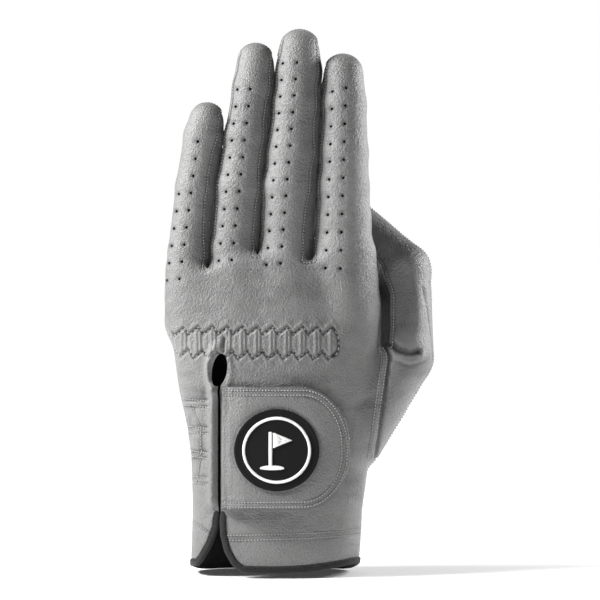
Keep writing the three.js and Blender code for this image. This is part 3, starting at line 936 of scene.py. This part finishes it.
def weave_group():
    """Crossed yarns: a height for bump and a mask of the yarns' crowns."""
    tree, source, out = group(
        "woven_yarns",
        [("Vector", "NodeSocketVector", None), ("Yarn Scale", "NodeSocketFloat", 900.0)],
        [("Height", "NodeSocketFloat"), ("Crowns", "NodeSocketFloat")],
    )
    link = tree.links.new
    waves = []
    for direction in ("X", "Z"):
        wave = node(
            tree.nodes, "ShaderNodeTexWave", wave_type="BANDS", bands_direction=direction,
            Distortion=0.6, Detail_Scale=2.0,
        )
        link(source.outputs["Vector"], wave.inputs["Vector"])
        link(source.outputs["Yarn Scale"], wave.inputs["Scale"])
        waves.append(wave)
    higher = node(tree.nodes, "ShaderNodeMath", operation="MULTIPLY")
    link(waves[0].outputs["Fac"], higher.inputs[0])
    link(waves[1].outputs["Fac"], higher.inputs[1])
    link(higher.outputs[0], out.inputs["Height"])
    link(higher.outputs[0], out.inputs["Crowns"])
    return tree


GRAIN = grain_group()
WEAVE = weave_group()


def leather(name, dark, light, hollow, roughness):
    """Dyed sheepskin: pebbled grain, soft patches of tone, and painted shade in its creases, seams and
    grooves.
    """
    looks = {"Specular_IOR_Level": 0.45, "Sheen_Weight": 0.12, "Sheen_Roughness": 0.4}
    material, nodes, links, shader = new_material(name, light, roughness, **looks)
    place = node(nodes, "ShaderNodeTexCoord")
    grain = node(nodes, "ShaderNodeGroup", node_tree=GRAIN)
    grain.inputs["Pebble Scale"].default_value = 1250.0
    links.new(place.outputs["Object"], grain.inputs["Vector"])
    patches = node(nodes, "ShaderNodeTexNoise", Scale=34.0, Detail=3.0, Roughness=0.5)
    links.new(place.outputs["Object"], patches.inputs["Vector"])
    tone = node(nodes, "ShaderNodeValToRGB")
    tone.color_ramp.elements[0].position, tone.color_ramp.elements[1].position = 0.3, 0.72
    tone.color_ramp.elements[0].color = (*dark, 1)
    tone.color_ramp.elements[1].color = (*light, 1)
    links.new(patches.outputs["Fac"], tone.inputs["Fac"])
    pores = node(nodes, "ShaderNodeMapRange", From_Min=0.25, From_Max=0.75, To_Min=0.0, To_Max=0.16)
    links.new(grain.outputs["Hollows"], pores.inputs["Value"])
    # painted shade: the crease attribute darkens the leather towards the hollow tone in sunk seams, grooves
    # and folds, added to the grain's pore mask
    crease = node(nodes, "ShaderNodeAttribute", attribute_name="crease")
    sunk = node(nodes, "ShaderNodeMath", operation="MULTIPLY_ADD", use_clamp=True)
    sunk.inputs[1].default_value = 0.75
    links.new(crease.outputs["Fac"], sunk.inputs[0])
    links.new(pores.outputs["Result"], sunk.inputs[2])
    mix = node(nodes, "ShaderNodeMix", data_type="RGBA")
    mix.inputs["B"].default_value = (*hollow, 1)
    links.new(sunk.outputs[0], mix.inputs["Factor"])
    links.new(tone.outputs["Color"], mix.inputs["A"])
    links.new(mix.outputs["Result"], shader.inputs["Base Color"])
    rough = node(nodes, "ShaderNodeMapRange", To_Min=roughness - 0.07, To_Max=roughness + 0.12)
    links.new(patches.outputs["Fac"], rough.inputs["Value"])
    links.new(rough.outputs["Result"], shader.inputs["Roughness"])
    raise_it = node(nodes, "ShaderNodeBump", Strength=0.8, Distance=0.0003)
    links.new(grain.outputs["Height"], raise_it.inputs["Height"])
    links.new(raise_it.outputs["Normal"], shader.inputs["Normal"])
    return material


def dress(nodes, links, shader, texture, share, height, tones, strength, distance):
    """Colours a shader between two tones by one output of a texture, and raises it by another."""
    place = node(nodes, "ShaderNodeTexCoord")
    links.new(place.outputs["Object"], texture.inputs["Vector"])
    mix = node(nodes, "ShaderNodeMix", data_type="RGBA")
    for socket, tone in zip(("A", "B"), tones):
        mix.inputs[socket].default_value = (*tone, 1)
    links.new(texture.outputs[share], mix.inputs["Factor"])
    links.new(mix.outputs["Result"], shader.inputs["Base Color"])
    raise_it = node(nodes, "ShaderNodeBump", Strength=strength, Distance=distance)
    links.new(texture.outputs[height], raise_it.inputs["Height"])
    links.new(raise_it.outputs["Normal"], shader.inputs["Normal"])


def woven(name, dark, light, roughness, scale, strength=0.6, sheen=0.1, gloss=0.35):
    """Crossed yarns in two tones."""
    looks = {"Sheen_Weight": sheen, "Specular_IOR_Level": gloss}
    material, nodes, links, shader = new_material(name, light, roughness, **looks)
    yarns = node(nodes, "ShaderNodeGroup", node_tree=WEAVE)
    yarns.inputs["Yarn Scale"].default_value = scale
    dress(nodes, links, shader, yarns, "Crowns", "Height", (dark, light), strength, 0.0003)
    return material


def speckled(name, dark, light, roughness, scale, strength=0.5, distance=0.0003, sheen=0.0):
    """Short fibres, pile or moulded grain."""
    material, nodes, links, shader = new_material(name, light, roughness, Sheen_Weight=sheen)
    fibres = node(nodes, "ShaderNodeTexNoise", Scale=scale, Detail=5.0, Roughness=0.65, Distortion=0.8)
    dress(nodes, links, shader, fibres, "Fac", "Fac", (dark, light), strength, distance)
    return material


def grey(value):
    return (value, value, value * 0.99)


# its third tone, grey(0.030), is the painted shade mixed into creases, seams and grooves
GREY_LEATHER = leather("grey_leather", grey(0.150), grey(0.185), grey(0.030), 0.43)
# the leather's underside on inner faces and rims, near black: partly its own dark colour and partly painted
# shade for the glove's shadowed inside
LEATHER_INSIDE_AND_SHADE = speckled("leather_inside_and_shade", grey(0.015), grey(0.035), 0.95, 2500.0, sheen=0.2)
THREAD = speckled("grey_thread", grey(0.20), grey(0.42), 0.55, 5200.0, distance=0.0001, sheen=0.2)
TAPE = woven("edge_tape", grey(0.003), grey(0.014), 0.75, 620.0)
ELASTIC = woven("elastic", grey(0.008), grey(0.03), 0.85, 500.0)
FABRIC = speckled("inner_fabric", grey(0.012), grey(0.03), 0.95, 2100.0, sheen=0.3)
LOOPS = speckled("loop_fabric", grey(0.03), grey(0.10), 0.95, 3200.0, 0.9, 0.0006, 0.5)
HOOKS = speckled("hook_plastic", grey(0.05), grey(0.13), 0.5, 4200.0, 0.9, 0.0005)
BADGE_BLACK = woven("badge_black", grey(0.002), grey(0.010), 0.8, 1250.0, 0.35, 0.0, 0.2)
BADGE_WHITE = speckled("badge_white", grey(0.72), grey(0.95), 0.55, 5200.0, 0.3, 0.0001, 0.1)


# ------------------------------------------------------------------ the glove's pieces

FINGER_ORDER = ["little", "ring", "middle", "index"]


def own(piece, slot, *nodes):
    if nodes:
        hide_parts(*nodes)
    return piece


def finish_leather(piece, *nodes):
    piece.data.materials.append(GREY_LEATHER)
    piece.data.materials.append(LEATHER_INSIDE_AND_SHADE)
    return own(piece, "grey_leather", *nodes)


def bend_finger(piece):
    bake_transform(piece)


def bend_thumb(piece):
    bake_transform(piece)


def fourchette_depth(skin, name):
    """How far a finger's fork strips stand off its skin: sunk at seams and tip, fuller between."""
    balls = FINGERS[name]
    tip = balls[-1][2]
    up = skin.rest[2]
    depth = np.abs(skin.rest[1] - finger_line(name, up, 1))
    radius = np.interp(up, [b[2] for b in balls], [b[3] for b in balls]) * FINGER_FLATNESS
    fill = (1.4 + 0.5 * (1 - step(up, 137, 150))) * (1 - step(up, tip - 9, tip + 3))
    return -0.84 + fill * step(1 - depth / radius, 0.35, 0.85)


def finger_skin(name):
    """One finger's skin, cut along its seams and pierced by its air holes."""
    balls = FINGERS[name]
    reach = max(b[3] for b in balls) + 3
    low = (min(b[0] for b in balls[1:]) - reach, -reach, FINGER_CUT - 2)
    high = (max(b[0] for b in balls[1:]) + reach, reach + 8, balls[-1][2] + balls[-1][3] + 2)
    index = FINGER_ORDER.index(name)
    near = FINGER_ORDER[max(index - 1, 0):index] + FINGER_ORDER[index + 1:index + 2]

    def form(p):
        return smooth_min(hand_form(p), finger_form(p, name), FINGER_BLEND)

    def nearest(p):
        apart = np.full(p.shape[1], 9.0)
        for other in near:
            apart = np.minimum(apart, finger_form(p, other) - finger_form(p, name))
        return np.where(p[2] > WEB_LIMIT, np.maximum(apart, 0.5), apart)

    bm = skin_grid(form, low, high, FINGER_VOXEL)
    cut_away(bm, lambda p: p[2] - FINGER_CUT)
    cut_away(bm, nearest, lambda p: p[2] < WEB_LIMIT)
    refine(bm, lambda m: hole_field(m) < 0.6, 2)
    cut_away(bm, hole_field)
    split_along(bm, finger_panels(name))
    split_along(bm, finger_side(name))
    if name in ("ring", "middle"):
        split_along(bm, lambda p: p[0] - finger_line(name, p[2]), lambda p: p[2] > balls[-1][2])
    return Skin(bm, finger_relief(name))


def make_finger(name):
    skin = finger_skin(name)
    m = skin.middles
    panels = finger_panels(name)
    is_leather, is_back = panels(m) > 0, finger_side(name)(m) < 0
    right = m[0] > finger_line(name, m[2])
    for part, chosen in ((f"{name}_back", is_leather & is_back), (f"{name}_palm", is_leather & ~is_back)):
        bend_finger(finish_leather(shell(part, skin, chosen), part))
    for part, on_side in (("little_side", ~right), ("thumb_side", right)):
        node_name = f"{name}_fourchette_{part}"
        if node_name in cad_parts:
            sunk = fourchette_depth(skin, name)
            strip = shell(node_name, skin, ~is_leather & on_side, sunk, sunk - 0.6)
            bend_finger(finish_leather(strip, node_name))
    thread = Thread()
    for on_side in (is_back, ~is_back):
        seam_thread(thread, skin, panels, SEAM_INSET, is_leather & on_side)
    made = thread.piece(f"{name}_stitches", THREAD)
    own(made, "grey_thread")
    bend_finger(made)


def under_finger_cut(p):
    """Above 0 where the hand's skin stays: below the fingers, and everywhere on the thumb."""
    return np.where(thumb_field(p) > 0, 9.0, FINGER_CUT - p[2])


def finely_shaped(m):
    """The smocking and the slit's rolled edge, which need smaller faces."""
    smocked = (m[0] > -46) & (m[0] < 29) & (m[2] > 90.5) & (m[2] < 108.5)
    rolled = (m[0] > -28.5) & (m[0] < -18) & (m[2] < 96)
    return (m[1] < 0) & (smocked | rolled)


def make_hand():
    """The skin of the hand and the thumb, cut along its seams, its slit and the fingers."""
    bm = skin_grid(glove_form, (-54, -26, -5), (74, 44, 166), VOXEL)
    cut_away(bm, lambda p: p[2] - cuff_edge(p[0], p[1]), lambda p: p[2] < 20)
    split_along(bm, thumb_field, lambda p: p[0] > 15)
    split_along(bm, lambda p: FINGER_CUT - p[2], lambda p: thumb_field(p) < 1.0)
    drop_faces(bm, under_finger_cut)
    refine(bm, finely_shaped, 1)
    refine(bm, lambda m: (hole_field(m) < 0.6) & (m[1] < 0), 2)
    cut_away(bm, hole_field)
    cut_away(bm, slit_field, lambda p: p[1] < -1)
    split_along(bm, hand_side, lambda p: thumb_field(p) < 0.5)
    split_along(bm, thumb_side, lambda p: thumb_field(p) > -0.5)
    split_along(bm, lambda p: thumb_reach(p) - THUMB_CUT, lambda p: thumb_field(p) > -0.5)
    split_along(bm, lambda p: p[2] - FACING_TOP, lambda p: p[2] < 20)
    return Skin(bm, hand_relief)


def hand_pieces(skin):
    m = skin.middles
    thumb = thumb_field(m) > 0
    back = hand_side(m) < 0
    thumb_back = thumb_side(m) < 0
    beyond = thumb_reach(m) > THUMB_CUT
    for name, chosen in (
        ("back_panel", ~thumb & back), ("palm_panel", ~thumb & ~back),
        ("thumb_base_back", thumb & thumb_back & ~beyond),
        ("thumb_base_palm", thumb & ~thumb_back & ~beyond),
    ):
        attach(finish_leather(shell(name, skin, chosen), name), "hand")
    for name, on_side in (("thumb_back", thumb_back), ("thumb_palm", ~thumb_back)):
        bend_thumb(finish_leather(shell(name, skin, thumb & on_side & beyond), name))
    facing = shell("cuff_facing", skin, ~thumb & (m[2] < FACING_TOP), -LEATHER - 0.15, -LEATHER - 0.65)
    for _ in range(2):
        facing.data.materials.append(FABRIC)
    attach(own(facing, "inner_fabric", "cuff_facing"), "hand")
    thread = Thread()
    seam_thread(thread, skin, thumb_side, -1.1, thumb & thumb_back & beyond)
    bend_thumb(own(thread.piece("thumb_stitches", THREAD), "grey_thread"))
    thread = Thread()
    seam_thread(thread, skin, thumb_side, -1.1, thumb & thumb_back & ~beyond)
    for level in THUMB_ROWS:
        seam_thread(thread, skin, thumb_field, level, ~thumb & (m[2] < 98) & (m[2] > 50))
    seam_thread(thread, skin, hand_side, -1.0, ~thumb & back)
    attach(own(thread.piece("panel_stitches", THREAD), "grey_thread"), "hand")


def lower_edge(skin):
    """The skin's points round the cuff and up both sides of the slit's mouth, in order."""
    directed = {(a, b) for f in skin.faces for a, b in zip(f, f[1:] + f[:1])}
    low = skin.rest[2] < 31.0
    onward = {a: b for a, b in directed if (b, a) not in directed and low[a] and low[b]}
    ends = set(onward.values())
    rows = []
    for start in [a for a in onward if a not in ends]:
        row = [start]
        while row[-1] in onward and onward[row[-1]] != start:
            row.append(onward[row[-1]])
        rows.append(row)
    return max(rows, key=len)


def edge_tape(skin):
    """Folded tape round the cuff's edge and up both sides of the slit's mouth."""
    row = lower_edge(skin)
    line = smoothed(skin.points[row], 6)
    lengths = line_lengths(line)
    places = np.linspace(0, lengths[-1], int(lengths[-1] / 0.7))
    middles = at_lengths(places, lengths, line)
    normals = unit(at_lengths(places, lengths, smoothed(skin.normals[row], 10)))
    ways = unit(np.gradient(middles, axis=0))
    out = np.cross(ways, normals)
    # the tape's section: along the leather from its edge, and out from the leather's middle
    section = [
        (0.62, 0.0), (0.45, 0.62), (-0.2, 0.98), (-1.2, 1.02), (-2.2, 0.92),
        (-2.5, 0.62), (-2.42, 0.42), (-1.2, 0.42), (0.0, 0.42), (0.1, 0.0),
    ]
    loop = section + [(a, -b) for a, b in reversed(section[1:-1])]
    points, faces = [], []
    count, sides = len(middles), len(loop)
    for i, (middle, normal, away) in enumerate(zip(middles, normals, out)):
        taper = float(step(min(i, count - 1 - i), -2.5, 8))
        centre = middle - normal * (LEATHER / 2 + 0.3 * (1 - taper)) - away * 0.5 * (1 - taper)
        points += [centre + (away * a + normal * b) * taper for a, b in loop]
    for first in range(0, (count - 1) * sides, sides):
        for i in range(sides):
            a, b = first + i, first + (i + 1) % sides
            faces.append([a, b, b + sides, a + sides])
    last = (count - 1) * sides
    for i in range(len(section) - 1):
        j = (sides - i) % sides
        k = (sides - i - 1) % sides
        faces.append([i, j, k, i + 1] if i else [0, k, 1])
        faces.append([last + i + 1, last + k, last + j, last + i] if i else [last + 1, last + k, last])
    tape = new_piece("edge_binding", points, faces, TAPE)
    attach(own(tape, "edge_tape", "edge_binding"), "hand")
    stitches = Thread(length=1.3, radius=0.16)
    stitches.line(middles - out * 1.75 + normals * (1.0 - LEATHER / 2 - 0.05), normals, pitch=2.1)
    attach(own(stitches.piece("tape_stitches", TAPE), "edge_tape"), "hand")


def hand_rows():
    """Stitch rows laid on the back of the hand: smocking, flap, wrist and hem."""
    smocking = Thread(length=1.55, radius=0.27)
    xs = np.arange(SMOCK_LEFT, SMOCK_RIGHT + 0.2, 0.2)
    turn = np.linspace(-1.2, 1.3, 14)
    end = np.array([SMOCK_RIGHT + 0.3 + 2.9 * np.cos(turn), 99.3 + 5.6 * np.sin(turn)]).T
    for line in (np.array([xs, smock_top(xs)]).T, np.array([xs, smock_bottom(xs)]).T, end):
        points, normals = laid_points(line, 0.3)
        smocking.line(points, normals, pitch=2.05)
    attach(own(smocking.piece("smocking_stitches", THREAD), "grey_thread"), "hand")
    rows = Thread()
    lines = []
    for pair in FLAP_ROWS:
        for row in pair:
            xs = np.linspace(-39.2, -26.4, 12)
            lines.append(np.array([xs, row - 0.06 * (xs + 32)]).T)
    lines.append(np.array(FLAP_LINE))
    for row in HEM_ROWS:
        xs = np.linspace(-21.4, 37.0, 40)
        lines.append(np.array([xs, hem_height(row, xs)]).T)
    xs = np.linspace(-34.2, -27.4, 8)
    lines.append(np.array([xs, left_hem_height(xs)]).T)
    for line in lines:
        points, normals = laid_points(line)
        rows.line(points, normals)
    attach(own(rows.piece("hand_row_stitches", THREAD), "grey_thread"), "hand")


# ------------------------------------------------------------------ closure tab

TAB_LEFT, TAB_RIGHT, TAB_LOW, TAB_HIGH = -21.6, 31.0, 29.0, 80.9
TAB_CORNER = (19.0, 24.0)
TAB_ROOT, TAB_TOP = 2.5, 4.1  # how far its face stands off the hand, at its root and beyond
TAB_ROWS = (1.45, 3.45)  # rows of stitching this far inside its edge
LOOP_BOX = (-6.0, 28.0, 33.0, 76.0)
HOOK_BOX = (-2.0, 23.9, 35.8, 73.8)
BADGE_X, BADGE_Z, BADGE_RADIUS = 1.4, 54.4, 17.2


def tab_outline(x, z):
    """Distance inside the tab's edge: straight at its root, with big round corners at its free end."""
    low = TAB_LOW + 0.012 * (x - TAB_LEFT)
    high = TAB_HIGH
    width, height = TAB_CORNER
    inside = np.minimum(np.minimum(x - TAB_LEFT, TAB_RIGHT - x), np.minimum(z - low, high - z))
    across = np.maximum(x - (TAB_RIGHT - width), 0)
    up = np.maximum(np.maximum(z - (high - height), (low + height) - z), 0)
    corner = (1 - np.hypot(across / width, up / height)) * (width * 0.55 + height * 0.45)
    in_corner = (across > 0) & (up > 0)
    return np.where(in_corner, np.minimum(corner, x - TAB_LEFT), inside)


def rounded_box(box, radius):
    left, right, low, high = box

    def outline(x, z):
        dx = np.abs(x - (left + right) / 2) - (right - left) / 2 + radius
        dz = np.abs(z - (low + high) / 2) - (high - low) / 2 + radius
        return radius - np.hypot(np.maximum(dx, 0), np.maximum(dz, 0)) - np.minimum(np.maximum(dx, dz), 0)

    return outline


def under_tab(box, radius, inset):
    """A pad's outline, kept inside the tab's rounded end."""
    whole = rounded_box(box, radius)
    return lambda x, z: np.minimum(whole(x, z), tab_outline(x, z) - inset)


def tab_height(x, z):
    """How far the tab's face stands off the back of the hand: lower at its sewn root."""
    lifted_foot = 0.9 * bump(z, TAB_LOW, 5.0) * step(x, TAB_LEFT, -12)
    return TAB_ROOT + (TAB_TOP - TAB_ROOT) * step(x, TAB_LEFT - 1, -11) + lifted_foot


def tab_relief(x, z):
    """Rounded edges, sunk rows of stitching, and the leather drawn in round the badge."""
    spread = np.hypot(x - BADGE_X, z - BADGE_Z)
    lift = -0.55 * (1 - step(tab_outline(x, z), 0, 1.1)) ** 2
    for inset in TAB_ROWS:
        lift += -0.20 * bump(tab_rows_field(x, z), inset, 0.55)
    lift += 0.10 * np.sin(x * 1.7 + 0.6 * np.sin(z * 0.5)) * bump(x, TAB_LEFT + 2.5, 3.0)
    lift += 0.22 * bump(spread, 21.5, 3.0) - 0.15 * bump(spread, 17.8, 0.8)
    return lift


def tab_rows_field(x, z):
    """Distance inside the tab's three sewn edges, for its rows of stitching."""
    return tab_outline(np.maximum(x, -15.0), z)


def bend_tab(piece):
    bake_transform(piece)


def laid_piece(name, outline, low, high, spacing, outer, inner, materials):
    """A closed piece laid on the hand, its two faces at heights over the hand's plain form."""
    laid = Laid(outline, low, high, spacing)
    x, z = laid.rest[0], laid.rest[2]
    over, under = outer(x, z), inner(x, z)
    # painted shade on the tab: darker where its face sinks below its height, at its rounded edges, its
    # stitch rows and round the badge
    if name == "tab_leather":
        laid.crease = np.clip((tab_height(x, z) - over) / 0.3, 0, 1)
    laid.points = laid.points + laid.normals * over[:, None]
    turned = smooth_normals(laid.points, laid.faces)
    piece = shell(name, laid, laid.everything(), 0.0, under - over)
    mesh = piece.data
    for material in materials:
        mesh.materials.append(material)
    # the outer face is shaded by its own relief
    vertex_of = np.zeros(len(mesh.loops), np.int32)
    mesh.loops.foreach_get("vertex_index", vertex_of)
    current = np.zeros(len(mesh.loops) * 3, np.float32)
    mesh.corner_normals.foreach_get("vector", current)
    current = current.reshape(-1, 3)
    order = np.unique(np.concatenate([np.array(f) for f in laid.faces]))
    outer_loops = sum(len(f) for f in laid.faces)
    current[:outer_loops] = turned[order][vertex_of[:outer_loops]]
    mesh.normals_split_custom_set(current)
    return piece


def even(height):
    """The same height everywhere over the hand's plain form."""
    return lambda x, z: np.full_like(x, height)


def under_face(depth):
    """A height this far under the tab's face."""
    return lambda x, z: tab_height(x, z) - depth


def make_tab():
    low, high = (TAB_LEFT - 0.5, TAB_LOW - 0.5), (TAB_RIGHT + 0.5, TAB_HIGH + 0.5)
    face = laid_piece(
        "tab_leather", tab_outline, low, high, 0.55,
        lambda x, z: tab_height(x, z) + tab_relief(x, z), under_face(LEATHER),
        [GREY_LEATHER, LEATHER_INSIDE_AND_SHADE],
    )
    bend_tab(own(face, "grey_leather", "tab_leather"))
    lining = laid_piece(
        "tab_lining", lambda x, z: tab_outline(x, z) - 0.8, low, high, 1.0,
        under_face(LEATHER + 0.15), under_face(LEATHER + 0.55), [FABRIC, FABRIC],
    )
    bend_tab(own(lining, "inner_fabric", "tab_lining"))
    loop = laid_piece("loop_pad", under_tab(LOOP_BOX, 4.0, 2.6), (-7, 32), (29, 77), 1.0,
                      even(1.3), even(0.55), [LOOPS, LOOPS])
    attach(own(loop, "loop_fabric", "loop_pad"), "hand")
    hook = laid_piece("hook_pad", under_tab(HOOK_BOX, 5.0, 4.5), (-3, 34.8), (25, 75), 1.0,
                      even(2.3), even(1.62), [HOOKS, HOOKS])
    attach(own(hook, "hook_plastic", "hook_pad"), "tab")
    thread = Thread()
    for inset in TAB_ROWS:
        line = tab_row(inset)
        p, n = on_glove(line[:, 0], line[:, 1], body_form)
        lift = tab_height(p[0], p[2]) + tab_relief(p[0], p[2])
        thread.line((p + n * (lift + THREAD_LIFT)).T, n.T)
    bend_tab(own(thread.piece("tab_stitches", THREAD), "grey_thread"))


def tab_row(inset):
    """A row of stitching this far inside the tab's edge, from its root round its free end and back."""
    right, low, high = TAB_RIGHT - inset, TAB_LOW + 0.3 + inset, TAB_HIGH - inset
    width, height = TAB_CORNER[0] - inset, TAB_CORNER[1] - inset
    upper = [
        (right - width + width * math.sin(t), high - height + height * math.cos(t))
        for t in np.linspace(0, math.pi / 2, 24)
    ]
    lower = [(x, low + high - z) for x, z in reversed(upper)]
    root = TAB_LEFT + 0.9
    return smoothed(resample([(root, high), *upper, *lower, (root, low - 0.3)], 0.5)[0], 2)


# ------------------------------------------------------------------ badge

def lay_badge(piece, offset):
    """Bends a flat piece, drawn round the origin with its face to +Z, onto the tab's face."""
    bpy.ops.object.transform_apply(location=True, rotation=True, scale=True)
    flat = np.array([v.co[:] for v in piece.data.vertices])
    x, z = BADGE_X + flat[:, 0], BADGE_Z + flat[:, 1]
    p, n = on_glove(x, z, body_form)
    points = (p + n * (offset + flat[:, 2])).T
    piece.data.vertices.foreach_set("co", placed(points).ravel())
    piece.data.update()
    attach(piece, "tab")


def make_disc():
    bpy.ops.object.select_all(action="DESELECT")
    bpy.ops.mesh.primitive_cylinder_add(vertices=96, radius=BADGE_RADIUS, depth=0.9, location=(0, 0, 0.45))
    disc = bpy.context.object
    disc.name = disc.data.name = "badge_disc"
    bpy.ops.object.mode_set(mode="EDIT")
    bpy.ops.mesh.select_mode(type="FACE")
    for up in (1, -1):
        bpy.ops.mesh.select_all(action="DESELECT")
        bm = bmesh.from_edit_mesh(disc.data)
        for face in bm.faces:
            face.select = face.normal.z * up > 0.9
        bmesh.update_edit_mesh(disc.data)
        bpy.ops.mesh.inset(thickness=0.35, depth=0.0)
        bpy.ops.mesh.inset(thickness=0.7, depth=0.0)
        bpy.ops.mesh.inset(thickness=0.3, depth=-0.14 if up > 0 else 0.0)
        for _ in range(5):
            bpy.ops.mesh.inset(thickness=2.6, depth=0.0)
        bpy.ops.mesh.poke()
    bpy.ops.object.mode_set(mode="OBJECT")
    bevel = disc.modifiers.new("soft_rim", "BEVEL")
    bevel.width, bevel.segments, bevel.limit_method = 0.22, 3, "ANGLE"
    bevel.angle_limit = math.radians(50)
    bpy.ops.object.modifier_apply(modifier="soft_rim")
    bpy.ops.object.shade_smooth_by_angle(angle=math.radians(35))
    disc.data.materials.append(BADGE_BLACK)
    lay_badge(own(disc, "badge_black", "badge_disc"), 4.25)


def make_badge():
    """A black disc with a ring and a golf flag embroidered on it."""
    make_disc()
    turn = np.linspace(0, 2 * math.pi, 220, endpoint=False)
    outward = [(math.cos(t), math.sin(t)) for t in turn]
    satin("badge_ring", [((13.35 * x, 13.35 * z), (x, z), 1.3) for x, z in outward])
    rows = []
    for z in np.arange(-6.6, 7.6, 0.36):  # pole
        rows.append(((-2.6, z), (1.0, 0.0), 1.55))
    for z in np.arange(0.9, 7.5, 0.36):  # pennant
        reach = 8.2 * (1 - abs(z - 4.2) / 3.4)
        if reach > 1.0:
            rows.append(((-1.7 + reach / 2, z), (1.0, 0.0), reach))
    for x in np.arange(-6.6, 3.0, 0.36):  # green
        tall = 2.1 * math.sqrt(max(0.05, 1 - ((x + 1.9) / 5.0) ** 2))
        rows.append(((x, -7.6 + 0.15 * tall), (0.0, 1.0), tall))
    satin("badge_flag", rows)


def satin(name, rows):
    """Close rows of embroidery thread on the badge: each has a middle, a direction and a length."""
    spots, ways, lengths = [], [], []
    for (x, z), (wx, wz), length in rows:
        pieces = max(1, int(length / 3.2 + 0.5))
        for i in range(pieces):
            along = length * ((i + 0.5) / pieces - 0.5)
            spots.append((BADGE_X + x + wx * along, BADGE_Z + z + wz * along))
            ways.append((wx, 0.0, wz))
            lengths.append(length / pieces)
    spots, ways = np.array(spots), np.array(ways)
    p, n = on_glove(spots[:, 0], spots[:, 1], body_form)
    ways = unit(ways - n.T * (ways * n.T).sum(axis=1, keepdims=True))
    thread = Thread(radius=0.24)
    for spot, way, normal, length in zip((p + n * 5.02).T, ways, n.T, lengths):
        thread.add([spot], [way], [normal], length=length)
    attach(own(thread.piece(name, BADGE_WHITE), "badge_white", name), "tab")


def make_elastics():
    for name, box in (("knuckle_elastic", (-33.0, 25.0, 97.4, 105.4)),
                      ("wrist_elastic", (-33.4, -26.6, 37.2, 77.0))):
        left, right, low, high = box
        strip = laid_piece(
            name, rounded_box(box, 0.8), (left - 1, low - 1), (right + 1, high + 1), 1.0,
            even(-LEATHER - 0.75), even(-LEATHER - 1.5), [ELASTIC, ELASTIC],
        )
        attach(own(strip, "elastic", name), "hand")


# ------------------------------------------------------------------ stage, lights and camera

def stage():
    bpy.ops.object.select_all(action="DESELECT")
    bpy.ops.mesh.primitive_plane_add(size=600)
    floor = bpy.context.object
    floor.name = "floor"
    material, nodes, links, shader = new_material("pale_floor", (0.93, 0.93, 0.93), 0.6)
    place = node(nodes, "ShaderNodeTexCoord")
    away = node(nodes, "ShaderNodeVectorMath", operation="LENGTH")
    # the floor glows more further off, so that it runs into the white backdrop
    glow = node(nodes, "ShaderNodeMapRange", From_Min=0.25, From_Max=1.1, To_Min=0.05, To_Max=1.0)
    links.new(place.outputs["Object"], away.inputs[0])
    links.new(away.outputs["Value"], glow.inputs["Value"])
    links.new(glow.outputs["Result"], shader.inputs["Emission Color"])
    shader.inputs["Emission Strength"].default_value = 1.0
    floor.data.materials.append(material)

    bpy.context.scene.view_settings.view_transform = "Standard"
    world = bpy.data.worlds.new("studio")
    bpy.context.scene.world = world
    world.use_nodes = True
    nodes, links = world.node_tree.nodes, world.node_tree.links
    soft = nodes["Background"]
    soft.inputs["Color"].default_value = (1, 1, 1, 1)
    soft.inputs["Strength"].default_value = 0.08
    backdrop = node(nodes, "ShaderNodeBackground", Color=(1, 1, 1, 1), Strength=1.0)
    seen = node(nodes, "ShaderNodeLightPath")
    choose = node(nodes, "ShaderNodeMixShader")
    links.new(seen.outputs["Is Camera Ray"], choose.inputs["Fac"])
    links.new(soft.outputs["Background"], choose.inputs[1])
    links.new(backdrop.outputs["Background"], choose.inputs[2])
    links.new(choose.outputs["Shader"], nodes["World Output"].inputs["Surface"])


def light_and_camera():
    middle = Vector((0, 0, 0.12))
    for name, place, size, power in [
        ("key", (-0.60, -0.15, 0.56), 0.24, 15.0),
        ("rim", (0.60, 0.22, 0.34), 0.30, 7.0),
    ]:
        light = bpy.data.lights.new(name, "AREA")
        light.size = size
        light.energy = power
        lamp = bpy.data.objects.new(name, light)
        lamp.location = place
        lamp.rotation_euler = (middle - Vector(place)).to_track_quat("-Z", "Y").to_euler()
        bpy.context.scene.collection.objects.link(lamp)

    camera = bpy.data.cameras.new("camera")
    camera.sensor_width = 36
    distance = 1.0
    view_width = 0.258
    camera.lens = camera.sensor_width * distance / view_width
    view = bpy.data.objects.new("camera", camera)
    view.location = (0.0002, -distance - 0.005, 0.1174)
    view.rotation_euler = (math.pi / 2, 0, 0)
    bpy.context.scene.collection.objects.link(view)
    bpy.context.scene.camera = view


stage()
light_and_camera()
for finger_name in FINGER_ORDER:
    make_finger(finger_name)
hand = make_hand()
hand_pieces(hand)
edge_tape(hand)
hand_rows()
make_tab()
make_badge()
make_elastics()
